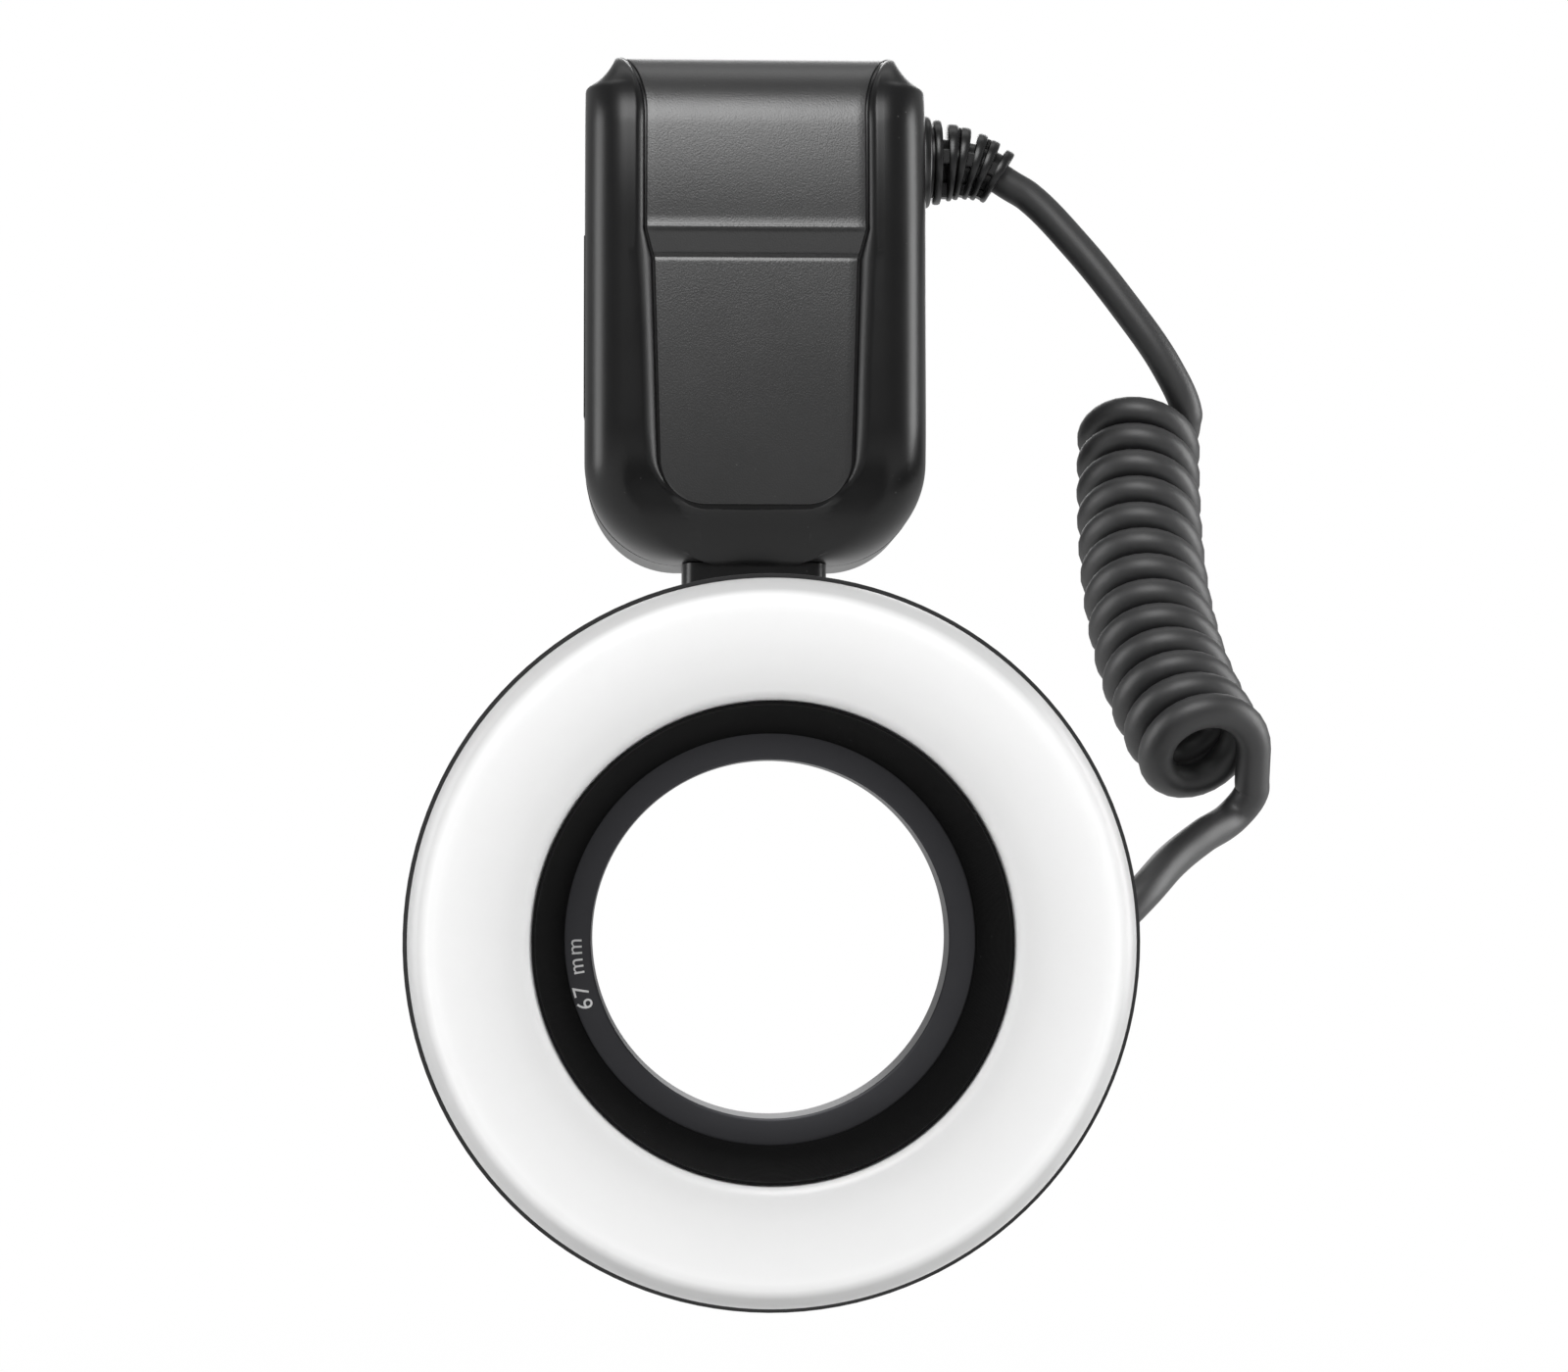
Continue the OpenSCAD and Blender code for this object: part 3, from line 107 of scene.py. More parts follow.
PANEL_GAP = 0.0003
HOLE_UP = (0.0287, 0.0673)
HOLE_COLUMNS = (2, 8)
SIDE_SHARES = (0.0, 0.015, 0.1, 0.3, 0.5, 0.7, 0.9)
CHEEK_TURNS = [math.radians(a) for a in (0, 8.3, 15, 22, 30, 38, 46, 54, 62, 70, 78, 84, 90)]

# The step's softness, the bead over it and the crease under it: their depth, and the place and width of each
STEP_SOFT = 0.10
BEAD = 0.00032
BEAD_UP, BEAD_WIDE = 0.0004, 0.0006
CREASE_UP, CREASE_WIDE = 0.0005, 0.0005

# The rolled edge round the panel: least width, width to depth, the part that is a slope, and its softness
LEAST_ROLL, ROLL_WIDE, ROLL_SLOPE, ROLL_SOFT = 0.0012, 1.05, 0.45, 0.2

# Heights of the cover's sections: steps in a quarter turn, even runs (start, step, count), and least spacings
TURN_STEPS = 30
HEIGHT_RUNS = ((0.0001, 0.0001, 11), (0.007, 0.00035, 40), (0.021, 0.0016, 44),
               (STEP_UP - 0.001, 0.00025, 33), (BODY_H - 0.0105, 0.0003, 35), (BODY_H - 0.002, 0.0001, 20))
HOLE_MERGE, ROW_MERGE = 0.0001, 0.00006

# Columns of a section: least cheeks, cheek to panel, flat at the seam, inner cheek's loss to the depth
LEAST_CHEEK, LEAST_INNER, CHEEK_GAP, SEAM_LAND, INNER_LOSS = 0.0005, 0.001, 0.0017, 0.0003, 1.23
INNER_LEAN = 0.002
SEAM_TUCK = 0.00025
EDGE_REACH, EDGE_MARGIN = 0.0032, 0.0016
CORNER_SPREAD, LEAST_COLUMN = 0.00012, 0.00002
CHEEK_COLUMNS, EDGE_COLUMNS, MIDDLE_COLUMNS = 6, 12, 7
CAP_ROWS = 6

# Rows of the panel: gap of the even rows from the step, spacing on the step, span of a slope, and counts
STEP_CLEAR, STEP_LEAD, STEP_SPACING, SLOPE_SPAN = 0.0012, 0.0010, 0.0001, 0.0001
CORNER_TURNS = range(0, 90, 3)
LOWER_ROWS, STEP_ROWS, UPPER_ROWS, ROLL_ROWS, TAIL_ROWS = 24, 80, 12, 30, 3

# The reliefs: start, direction, upright, straight length, bent length and bend
RELIEF_STRAIGHT, RELIEF_BENT = 0.0042, 0.012
UPPER_BEND, LOWER_RISE = math.radians(33), math.radians(36)
UPPER_RELIEF = (Vector((0.0366, 0.0, 0.098)), Vector((1, 0, 0)), Vector((0, 0, 1)),
                RELIEF_STRAIGHT, RELIEF_BENT, UPPER_BEND)
LOWER_END = Vector((0.0615, -0.0945, -0.0609))
LOWER_HEADING = Vector((math.cos(LOWER_RISE), 0.0, math.sin(LOWER_RISE)))
LOWER_RELIEF = (LOWER_END - (RELIEF_STRAIGHT + RELIEF_BENT) * LOWER_HEADING, LOWER_HEADING,
                -LOWER_HEADING.cross(Vector((0, 1, 0))), RELIEF_STRAIGHT, RELIEF_BENT, 0.0)

# Outlines of the reliefs (along, radius): the boss at the controller, the collar at the ring and what follows
RELIEF_FOOT = -0.0018
BOSS = ((RELIEF_FOOT, 0.0113), (-0.0015, 0.0106), (-0.0011, 0.0101), (-0.0006, 0.0098), (0.0, 0.0096),
        (0.0002, 0.0096), (0.0005, 0.0094), (0.0007, 0.0091))
COLLAR = ((RELIEF_FOOT, 0.0088), (0.0003, 0.0088), (0.0007, 0.0085))
NECK, NECK_START, NECK_END = 0.0074, 0.0007, 0.0013
FLANGE_AT, FLANGE_HALF, FLANGE_RADIUS, FLANGE_FOOT = 0.00215, 0.00085, 0.0089, (0.0030, 0.0050)
RELIEF_CORE, RIB_HALF, RIB_RADIUS, RIB_TAPER, RIB_SOFT = 0.0047, 0.00088, 0.0081, 0.19, 0.0005
RIB_PLACES = (0.00515, 0.0073, 0.0102, 0.0125, 0.0154)
MOUTH, MOUTH_DEEP = 0.0040, 0.0003
RELIEF_TURNS = 72

# The bars across a relief's slots: first start and height, depth into the core, size, and turns in degrees
FIRST_BAR, FIRST_BAR_TOP, BAR_SUNK = 0.0026, 0.0076, 0.0006
BAR_HALF, BAR_SOFT = 0.0015, 0.0003
BAR_TURNS = ((0, 180, 270), (90, 270))

# The cord's route, in metres: the upper lead, the line that the curls wind round, and the lower lead
UPPER_EXIT = Vector((0.05222, 0.0, 0.09464))
UPPER_HEADING = Vector((math.cos(UPPER_BEND), 0.0, -math.sin(UPPER_BEND)))
UPPER_ROUTE = [(0.0582, 0.0, 0.0909), (0.0680, -0.002, 0.0803), (0.0776, -0.005, 0.0675),
               (0.0868, -0.0068, 0.0535)]
CURL_LINE = [(0.0813, -0.002, 0.0419), (0.0775, -0.024, 0.015), (0.075, -0.050, -0.011),
             (0.084, -0.076, -0.029)]
LOWER_ROUTE = [(0.090, -0.0685, -0.040), (0.083, -0.075, -0.044), (0.0755, -0.0845, -0.0487),
               (0.069, -0.092, -0.0545)]
STUB, TUCK = 0.0025, 0.0015
ENTRY_SHARE = 0.3
LEAD_STEPS, CURL_STEPS = 8, 30

# Painted light and shade of the diffuser over its width (share, grey): a painted bright band near its outer
# edge and painted shade towards both edges; the width is measured in from its outer edge
MILK_WIDTH = 0.0217
MILK_PAINTED_LIGHT = ((0.0, 0.74), (0.05, 0.77), (0.15, 0.80), (0.30, 0.86), (0.50, 0.91), (0.70, 0.95),
              (0.77, 0.98), (0.83, 0.93), (0.87, 0.74), (0.90, 0.58), (0.95, 0.53), (1.0, 0.52))

# Dust, and how much lighter a rubbed edge is than its plastic
DUST_COLOUR = (0.35, 0.35, 0.34)
RUBBED_GAIN, RUBBED_LIFT = 3.2, 0.01

# Printed marks: their lift off the surface, their thickness, and the size mark's radius and turn
PRINT_LIFT, PRINT_THICK = 0.00001, 0.00002
MARK_RADIUS, MARK_TURN = 0.0346, math.radians(190.4)

# The camera's place beside the origin, its tilt and its pan
CAMERA_X, CAMERA_Z = -0.0198, -0.0402
CAMERA_TILT, CAMERA_PAN = math.radians(92.155), math.radians(-2.08)

# The lamps: name, place, width, height and share of the lamp power; and the point that they all face
LAMPS = (("ahead", (-0.15, -1.00, 0.92), 0.7, 0.8, 1.75), ("left", (-1.0, -0.10, 0.10), 0.4, 1.0, 0.9),
         ("right", (1.0, -0.10, 0.10), 0.4, 1.0, 1.35), ("above", (0.0, 0.25, 1.10), 0.9, 0.35, 0.15),
         ("behind", (0.1, 1.1, 0.5), 0.8, 0.6, 0.5))
LAMP_AIM = Vector((0, -0.06, 0))

# The room: the floor's half width and colour, the room's light, and how much white mirrored rays see
FLOOR_HALF, PALE, WHITE = 6.0, (0.80, 0.80, 0.80, 1.0), (1, 1, 1, 1)
ROOM_LIGHT = 0.22
FLOOR_MIRRORED, BACKDROP_MIRRORED = 0.5, 0.4

# The floor's white part (near, far) at two distances, and the depths between which the backdrop sets in
SHADOW_REACH, SHADOW_WHITE = (0.15, 0.75), (0.90, 1.0)
BACKDROP_DEPTHS = (0.2, 0.7)


def length_setting(name, description, default):
    """A setting that is a length in metres."""
    return FloatProperty(name=name, description=description, default=default, subtype="DISTANCE")


def colour_setting(name, description, default):
    """A setting that is a colour."""
    return FloatVectorProperty(name=name, description=description, default=default, subtype="COLOR")


class CordSettings(bpy.types.PropertyGroup):
    """Sizes and colour of the curly cord"""
    diameter: length_setting("Diameter", "Thickness of the cord", 0.0066)
    curls: IntProperty(name="Curls", description="Number of curls", default=13, min=1)
    first_radius: length_setting("First curl", "Mean radius of the curls at the controller's end", 0.0096)
    last_radius: length_setting("Last curl", "Mean radius of the curls at the ring's end", 0.0092)
    colour: colour_setting("Colour", "Colour of the cord's rubber", (0.012, 0.012, 0.0125))


class RingSettings(bpy.types.PropertyGroup):
    """Sizes and colours of the ring head"""
    edge_radius: length_setting("Diffuser edge", "Rounding of the diffuser's outer edge", 0.0055)
    inner_edge: length_setting("Diffuser inner edge", "Rounding of the diffuser's inner edge", 0.0022)
    grooves: IntProperty(name="Grooves", description="Fine grooves turned into the bore", default=30, min=1)
    lip_radius: length_setting("Lip", "Radius of the bore at its lip", 0.0364)
    milk: colour_setting("Diffuser colour", "Colour of the milky diffuser", (0.83, 0.83, 0.83))
    housing: colour_setting("Housing colour", "Colour of the ring housing", (0.010, 0.010, 0.0105))
    anodised: colour_setting("Adapter colour", "Colour of the anodised adapter ring", (0.050, 0.050, 0.054))


class ControllerSettings(bpy.types.PropertyGroup):
    """Sizes and colours of the controller"""
    edge: length_setting("Edge rounding", "Rounding of the moulded edges", 0.0004)
    corner: length_setting("Lower corners", "Radius of the lower corners, seen from the front", 0.020)
    shoulder: length_setting("Shoulders", "Radius of the scooped shoulders", 0.0089)
    cheek: length_setting("Cheeks", "Rounding from the front onto the sides", 0.009)
    roll: length_setting("Top roll", "Radius of the roll from the front onto the top", 0.017)
    chin: length_setting("Chin", "Radius of the long curve under the front", 0.034)
    chin_height: length_setting("Chin height", "Height that the curve under the front reaches", 0.028)
    recess_upper: length_setting("Upper recess", "Depth of the upper panel below the cheeks", 0.0012)
    recess_lower: length_setting("Lower recess", "Depth of the lower panel below the cheeks", 0.0030)
    wall: length_setting("Wall", "Thickness of the front cover", 0.0032)
    cover: colour_setting("Cover colour", "Colour of the moulded covers", (0.005, 0.005, 0.0052))
    panel: colour_setting("Panel colour", "Colour of the grained front panel", (0.009, 0.009, 0.0092))


class StageSettings(bpy.types.PropertyGroup):
    """Camera, floor and lamps"""
    lens: FloatProperty(name="Lens", description="Focal length of the camera in millimetres", default=79.2)
    distance: length_setting("Camera distance", "Distance of the camera ahead of the origin", 0.724)
    drop: length_setting("Floor drop", "Height of the object's lowest point over the floor", 0.12)
    lamp: FloatProperty(name="Lamp power", description="Watts that each lamp's share multiplies", default=9.0)


def set_inputs(tree, made, inputs):
    """Fills a node's inputs: one that is given a socket is linked, and any other is set."""
    for key, value in inputs.items():
        if isinstance(value, bpy.types.NodeSocket):
            tree.links.new(value, made.inputs[key])
        else:
            made.inputs[key].default_value = value


def add_node(tree, kind, inputs=None, **settings):
    """A shader node with its settings and its inputs."""
    made = tree.nodes.new(kind)
    for key, value in settings.items():
        setattr(made, key, value)
    set_inputs(tree, made, inputs or {})
    return made


def grey_ramp(tree, fac, stops):
    """A ramp of grey stops: (place, value)."""
    made = add_node(tree, "ShaderNodeValToRGB", {"Fac": fac})
    elements = made.color_ramp.elements
    while len(elements) < len(stops):
        elements.new(1.0)
    for element, (place, value) in zip(elements, stops):
        element.position = place
        element.color = (value, value, value, 1.0)
    return made.outputs["Color"]


def maths(tree, operation, a, b=0.0):
    """The result of one sum on two values or sockets."""
    return add_node(tree, "ShaderNodeMath", {0: a, 1: b}, operation=operation).outputs[0]


def map_range(tree, value, least, most, to_least=0.0, to_most=1.0):
    """A value carried from one range to another, and held there."""
    return add_node(tree, "ShaderNodeMapRange", {"Value": value, "From Min": least, "From Max": most,
                                                 "To Min": to_least, "To Max": to_most}).outputs["Result"]


def noise(tree, place, scale, **others):
    """The value of a noise texture at a place."""
    inputs = {"Vector": place, "Scale": scale, **others}
    return add_node(tree, "ShaderNodeTexNoise", inputs).outputs["Fac"]


def own_place(tree):
    """A point's place in its object."""
    return add_node(tree, "ShaderNodeTexCoord").outputs["Object"]


def mix_colour(tree, fac, a, b, blend="MIX"):
    """Colour a turning to colour b as fac goes from 0 to 1, or another blend of the two."""
    inputs = {0: fac}
    for key, value in ((6, a), (7, b)):
        inputs[key] = value if isinstance(value, bpy.types.NodeSocket) else (*value, 1.0)
    return add_node(tree, "ShaderNodeMix", inputs, data_type="RGBA", blend_type=blend).outputs[2]


def new_group(name, inputs, outputs):
    """An empty shader node group with float inputs, and value outputs."""
    tree = bpy.data.node_groups.new(name, "ShaderNodeTree")
    for socket, default in inputs:
        made = tree.interface.new_socket(name=socket, in_out="INPUT", socket_type="NodeSocketFloat")
        made.default_value = default
    for socket in outputs:
        tree.interface.new_socket(name=socket, in_out="OUTPUT", socket_type="NodeSocketFloat")
    return tree, tree.nodes.new("NodeGroupInput"), tree.nodes.new("NodeGroupOutput")


def moulded_grain():
    """Fine grain of moulded plastic, with a slow change of tone."""
    name = "Moulded grain"
    if name in bpy.data.node_groups:
        return bpy.data.node_groups[name]
    tree, given, result = new_group(name, [("Scale", 2500.0), ("Cells", 0.5)], ["Height", "Tone"])
    place = own_place(tree)
    scale = given.outputs["Scale"]
    speck = noise(tree, place, scale, Detail=3.0)
    cell = add_node(tree, "ShaderNodeTexVoronoi", {"Vector": place, "Scale": scale}, feature="SMOOTH_F1")
    pebble = maths(tree, "SUBTRACT", 1.0, cell.outputs["Distance"])
    both = add_node(tree, "ShaderNodeMix", {0: given.outputs["Cells"], 2: speck, 3: pebble})
    slow = noise(tree, place, 38.0, Detail=4.0, Roughness=0.6)
    set_inputs(tree, result, {"Height": both.outputs[0], "Tone": slow})
    return tree


def handling_marks():
    """Rubbed edges and a little dust: masks for where a surface is lighter or duller."""
    name = "Handling marks"
    if name in bpy.data.node_groups:
        return bpy.data.node_groups[name]
    tree, given, result = new_group(name, [("Rub", 0.5), ("Dust", 0.3)], ["Edge", "Speck"])
    place = own_place(tree)
    corner = add_node(tree, "ShaderNodeNewGeometry").outputs["Pointiness"]
    bare = map_range(tree, corner, 0.52, 0.62)
    part = maths(tree, "MULTIPLY", bare, noise(tree, place, 320.0, Detail=4.0))
    spot = add_node(tree, "ShaderNodeTexVoronoi", {"Vector": place, "Scale": 420.0})
    small = map_range(tree, spot.outputs["Distance"], 0.10, 0.03)
    few = map_range(tree, noise(tree, place, 60.0, Detail=2.0), 0.55, 0.75)
    dust = maths(tree, "MULTIPLY", small, few)
    set_inputs(tree, result, {"Edge": maths(tree, "MULTIPLY", part, given.outputs["Rub"]),
                              "Speck": maths(tree, "MULTIPLY", dust, given.outputs["Dust"])})
    return tree


def new_material(name):
    """A material with a Principled shader wired to its output."""
    made = bpy.data.materials.new(name)
    made.use_nodes = True
    tree = made.node_tree
    tree.nodes.clear()
    shader = tree.nodes.new("ShaderNodeBsdfPrincipled")
    output = tree.nodes.new("ShaderNodeOutputMaterial")
    tree.links.new(shader.outputs["BSDF"], output.inputs["Surface"])
    return made, tree, shader


def finish_group(tree, group, **values):
    """One of the shared groups in a material, with its own values."""
    return add_node(tree, "ShaderNodeGroup", values, node_tree=group)


def grain_finish(tree, shader, grained, roughness, spread, bump, depth):
    """Wires a grain to a shader: a changing roughness and a fine relief."""
    dull = map_range(tree, grained.outputs["Tone"], 0.0, 1.0, roughness - spread, roughness + spread)
    raised = add_node(tree, "ShaderNodeBump", {"Strength": bump, "Distance": depth,
                                               "Height": grained.outputs["Height"]})
    set_inputs(tree, shader, {"Roughness": dull, "Normal": raised.outputs["Normal"]})


def toned(tree, grained, colour, dark, light):
    """A colour that a grain's slow tone carries from a dark share of it to a light one."""
    return mix_colour(tree, grained.outputs["Tone"], [dark * c for c in colour],
                      [min(1.0, light * c) for c in colour])


def moulded_plastic(name, colour, roughness, grain=2500.0, cells=0.3, bump=0.12, rub=0.25, depth=0.00005,
                    specular=0.5):
    """Moulded plastic: grained, a little rubbed on its edges, with a few specks of dust."""
    made, tree, shader = new_material(name)
    grained = finish_group(tree, moulded_grain(), Scale=grain, Cells=cells)
    marks = finish_group(tree, handling_marks(), Rub=rub, Dust=0.25)
    tone = toned(tree, grained, colour, 0.82, 1.18)
    bare = [min(1.0, RUBBED_GAIN * c + RUBBED_LIFT) for c in colour]
    rubbed = mix_colour(tree, marks.outputs["Edge"], tone, bare)
    dusty = mix_colour(tree, marks.outputs["Speck"], rubbed, DUST_COLOUR)
    set_inputs(tree, shader, {"Base Color": dusty, "Specular IOR Level": specular})
    grain_finish(tree, shader, grained, roughness, 0.05, bump, depth)
    return made


def metal(name, colour, roughness, grain=1800.0, bump=0.05):
    """Plated or anodised metal with a fine blasted grain."""
    made, tree, shader = new_material(name)
    grained = finish_group(tree, moulded_grain(), Scale=grain, Cells=0.2)
    set_inputs(tree, shader, {"Base Color": toned(tree, grained, colour, 0.88, 1.12), "Metallic": 1.0})
    grain_finish(tree, shader, grained, roughness, 0.06, bump, 0.00004)
    return made


def clear_glass(name, colour):
    """Clear or tinted glass, slightly streaked."""
    made, tree, shader = new_material(name)
    grained = finish_group(tree, moulded_grain(), Scale=300.0, Cells=0.0)
    set_inputs(tree, shader, {"Base Color": toned(tree, grained, colour, 0.94, 1.0), "Roughness": 0.04,
                              "Transmission Weight": 1.0, "IOR": 1.46})
    return made


def ring_radius(tree):
    """Distance from the ring's axis, in metres, and the angle round it."""
    apart = add_node(tree, "ShaderNodeSeparateXYZ", {0: own_place(tree)})
    up = maths(tree, "SUBTRACT", apart.outputs["Z"], AXIS_Z)
    across = maths(tree, "MULTIPLY", apart.outputs["X"], apart.outputs["X"])
    rise = maths(tree, "MULTIPLY", up, up)
    angle = maths(tree, "ARCTAN2", up, apart.outputs["X"])
    return maths(tree, "SQRT", maths(tree, "ADD", across, rise)), angle


def milky_plastic(name, colour):
    """Milky diffuser with its light and shade painted in: a painted bright band, painted shade where its edge
    turns away, and faint painted shade of the walls behind it.
    """
    made, tree, shader = new_material(name)
    radius, angle = ring_radius(tree)
    outer = (diffuser_high.x - diffuser_low.x) / 2
    share = map_range(tree, radius, outer - MILK_WIDTH, outer)
    # Painted highlight and painted shade across the diffuser's width
    painted_light = grey_ramp(tree, share, MILK_PAINTED_LIGHT)
    # Painted shade of the walls behind the diffuser, as faint grey patches near its outer edge
    walls = add_node(tree, "ShaderNodeTexNoise", {"W": angle, "Scale": 1.7, "Detail": 1.0},
                     noise_dimensions="1D")
    shade = map_range(tree, walls.outputs["Fac"], 0.55, 0.72, 0.0, 0.10)
    painted_wall_shade = maths(tree, "MULTIPLY", shade, map_range(tree, share, 0.78, 0.92))
    lit = mix_colour(tree, 1.0, painted_light, colour, "MULTIPLY")
    faint = mix_colour(tree, painted_wall_shade, lit, (0.25, 0.25, 0.26))
    set_inputs(tree, shader, {"Base Color": faint, "Subsurface Weight": 0.35,
                              "Subsurface Radius": (1.0, 1.0, 1.0), "Subsurface Scale": 0.002})
    grained = finish_group(tree, moulded_grain(), Scale=900.0, Cells=0.0)
    grain_finish(tree, shader, grained, 0.41, 0.05, 0.02, 0.0001)
    return made


def filleted(corners):
    """Points round a closed outline whose corners (radius, forward, rounding) are rounded off."""
    points = []
    count = len(corners)
    for i, (r, f, rounding) in enumerate(corners):
        here = Vector((r, f))
        if rounding <= 0:
            points.append(here)
            continue
        before = (Vector(corners[i - 1][:2]) - here).normalized()
        after = (Vector(corners[(i + 1) % count][:2]) - here).normalized()
        half = before.angle(after) / 2
        reach = rounding / math.tan(half)
        centre = here + (before + after).normalized() * (rounding / math.sin(half))
        start = here + before * reach - centre
        sweep = start.angle_signed(here + after * reach - centre)
        steps = max(2, int(abs(sweep) / FILLET_STEP))
        for k in range(steps + 1):
            a = -sweep * k / steps
            points.append(centre + Vector((start.x * math.cos(a) - start.y * math.sin(a),
                                           start.x * math.sin(a) + start.y * math.cos(a))))
    return points


def lathe(name, outline, segments=288):
    """A closed outline of (radius, forward) points turned about the ring's axis."""
    built = bmesh.new()
    rings = []
    for k in range(segments):
        a = 2 * math.pi * k / segments
        rings.append([built.verts.new((r * math.cos(a), -f, AXIS_Z + r * math.sin(a))) for r, f in outline])
    count = len(outline)
    for k in range(segments):
        here, there = rings[k], rings[(k + 1) % segments]
        for i in range(count):
            built.faces.new((here[i], here[(i + 1) % count], there[(i + 1) % count], there[i]))
    bmesh.ops.recalc_face_normals(built, faces=built.faces)
    return from_bmesh(name, built)


def from_bmesh(name, built, sharp=32.0):
    """An object made of a bmesh, smooth but for edges sharper than an angle."""
    for face in built.faces:
        face.smooth = True
    for edge in built.edges:
        edge.smooth = not (len(edge.link_faces) == 2 and edge.calc_face_angle() > math.radians(sharp))
    mesh = bpy.data.meshes.new(name)
    built.to_mesh(mesh)
    built.free()
    made = bpy.data.objects.new(name, mesh)
    bpy.context.scene.collection.objects.link(made)
    return made


def dress(piece, material):
    """Gives a piece one material all over."""
    piece.data.materials.clear()
    piece.data.materials.append(material)


def soften(node, width, angle=30.0):
    """Rounds the moulded edges of a solid."""
    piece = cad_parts[node]
    weld = piece.modifiers.new("Weld", "WELD")
    weld.merge_threshold = WELD_REACH
    bevel = piece.modifiers.new("Moulded edges", "BEVEL")
    bevel.width = width
    bevel.segments = EDGE_STEPS
    bevel.limit_method = "ANGLE"
    bevel.angle_limit = math.radians(angle)
    bevel.miter_outer = "MITER_ARC"
    smooth = piece.modifiers.new("Even normals", "WEIGHTED_NORMAL")
    smooth.keep_sharp = True
    for face in piece.data.polygons:
        face.use_smooth = True
    return piece


def heading(points, i):
    """Direction of a route at one of its points."""
    if i == 0:
        return (points[1] - points[0]).normalized()
    if i == len(points) - 1:
        return (points[i] - points[i - 1]).normalized()
    return ((points[i + 1] - points[i]).normalized() + (points[i] - points[i - 1]).normalized()).normalized()


def smooth_route(points, steps):
    """A smooth line through chosen points."""
    line = []
    for i in range(len(points) - 1):
        a, b = points[i], points[i + 1]
        span = (b - a).length
        go, come = heading(points, i) * span, heading(points, i + 1) * span
        for k in range(steps):
            t = k / steps
            line.append((2 * t ** 3 - 3 * t ** 2 + 1) * a + (t ** 3 - 2 * t ** 2 + t) * go
                        + (3 * t ** 2 - 2 * t ** 3) * b + (t ** 3 - t ** 2) * come)
    line.append(points[-1])
    return line


def curl_point(t, cord):
    """A point of the curls, from 0 at the controller's end to 1 at the ring's end."""
    p = [Vector(q) for q in CURL_LINE]
    middle = (1 - t) ** 3 * p[0] + 3 * t * (1 - t) ** 2 * p[1] + 3 * t * t * (1 - t) * p[2] + t ** 3 * p[3]
    along = (1 - t) ** 2 * (p[1] - p[0]) + 2 * t * (1 - t) * (p[2] - p[1]) + t * t * (p[3] - p[2])
    along.normalize()
    side = Vector((1, 0, 0)) - along.x * along
    side.normalize()
    radius = cord.first_radius + (cord.last_radius - cord.first_radius) * t
    turn = 2 * math.pi * cord.curls * t
    return middle + radius * (math.cos(turn) * side + math.sin(turn) * side.cross(along))


def cord_route(cord):
    """The cord's centreline from the controller's relief to the ring's relief."""
    small = 0.0005
    first = (curl_point(small, cord) - curl_point(-small, cord)).normalized()
    last = (curl_point(1 + small, cord) - curl_point(1 - small, cord)).normalized()
    entry = curl_point(0, cord) - ENTRY_SHARE * cord.diameter * first
    leave = curl_point(1, cord) + cord.diameter * last
    upper = smooth_route([UPPER_EXIT, UPPER_EXIT + STUB * UPPER_HEADING, *map(Vector, UPPER_ROUTE),
                          entry - STUB * first, entry], LEAD_STEPS)
    lower = smooth_route([leave, leave + STUB * last, *map(Vector, LOWER_ROUTE),
                          LOWER_END + STUB * LOWER_HEADING, LOWER_END], LEAD_STEPS)
    count = CURL_STEPS * cord.curls
    curls = [curl_point(i / count, cord) for i in range(count + 1)]
    tail = LOWER_END - TUCK * LOWER_HEADING
    return [UPPER_EXIT - TUCK * UPPER_HEADING, *upper, *curls, *lower, tail]


def half_width(up, cover):
    """Half the front cover's width at a height over its underside."""
    side = SIDE - SEAM_STEP
    scoop = Vector((SIDE + SCOOP_OUT, BODY_H + SCOOP_UP))
    r, low_r, top_r = cover.shoulder, LOW_ROUND, TOP_ROUND
    low = Vector((side - low_r, scoop.y - math.sqrt((r + low_r) ** 2 - (scoop.x - side + low_r) ** 2)))
    top = Vector((scoop.x - math.sqrt((r + top_r) ** 2 - (scoop.y - BODY_H + top_r) ** 2), BODY_H - top_r))
    low_end = low.y + low_r * (scoop - low).normalized().y
    top_end = top.y + top_r * (scoop - top).normalized().y
    if up < cover.corner:
        return side - cover.corner + arc_half(cover.corner, cover.corner - up)
    if up < low.y:
        return side
    if up < low_end:
        return low.x + arc_half(low_r, up - low.y)
    if up < top_end:
        return scoop.x - arc_half(r, scoop.y - up)
    return top.x + arc_half(top_r, up - top.y)


def arc_half(r, rise):
    """Half the chord of a circle at a distance from its centre."""
    return math.sqrt(max(0.0, r * r - rise * rise))


def crown(up, cover):
    """How far the front leans back at a height, as it bends towards the roll, and the bend there."""
    start = BODY_H - cover.roll
    lean = math.tan(CROWN) / (start - CROWN_UP)
    along = min(max(up - CROWN_UP, 0.0), start - CROWN_UP)
    return 0.5 * lean * along * along, math.atan(lean * along)


def roll_circle(cover):
    """Middle and radius of the roll from the leaning front onto the top."""
    r = cover.roll / (1 - math.sin(CROWN))
    lean = crown(BODY_H, cover)[0]
    return lean - FRONT + r * math.cos(CROWN), BODY_H - r, r


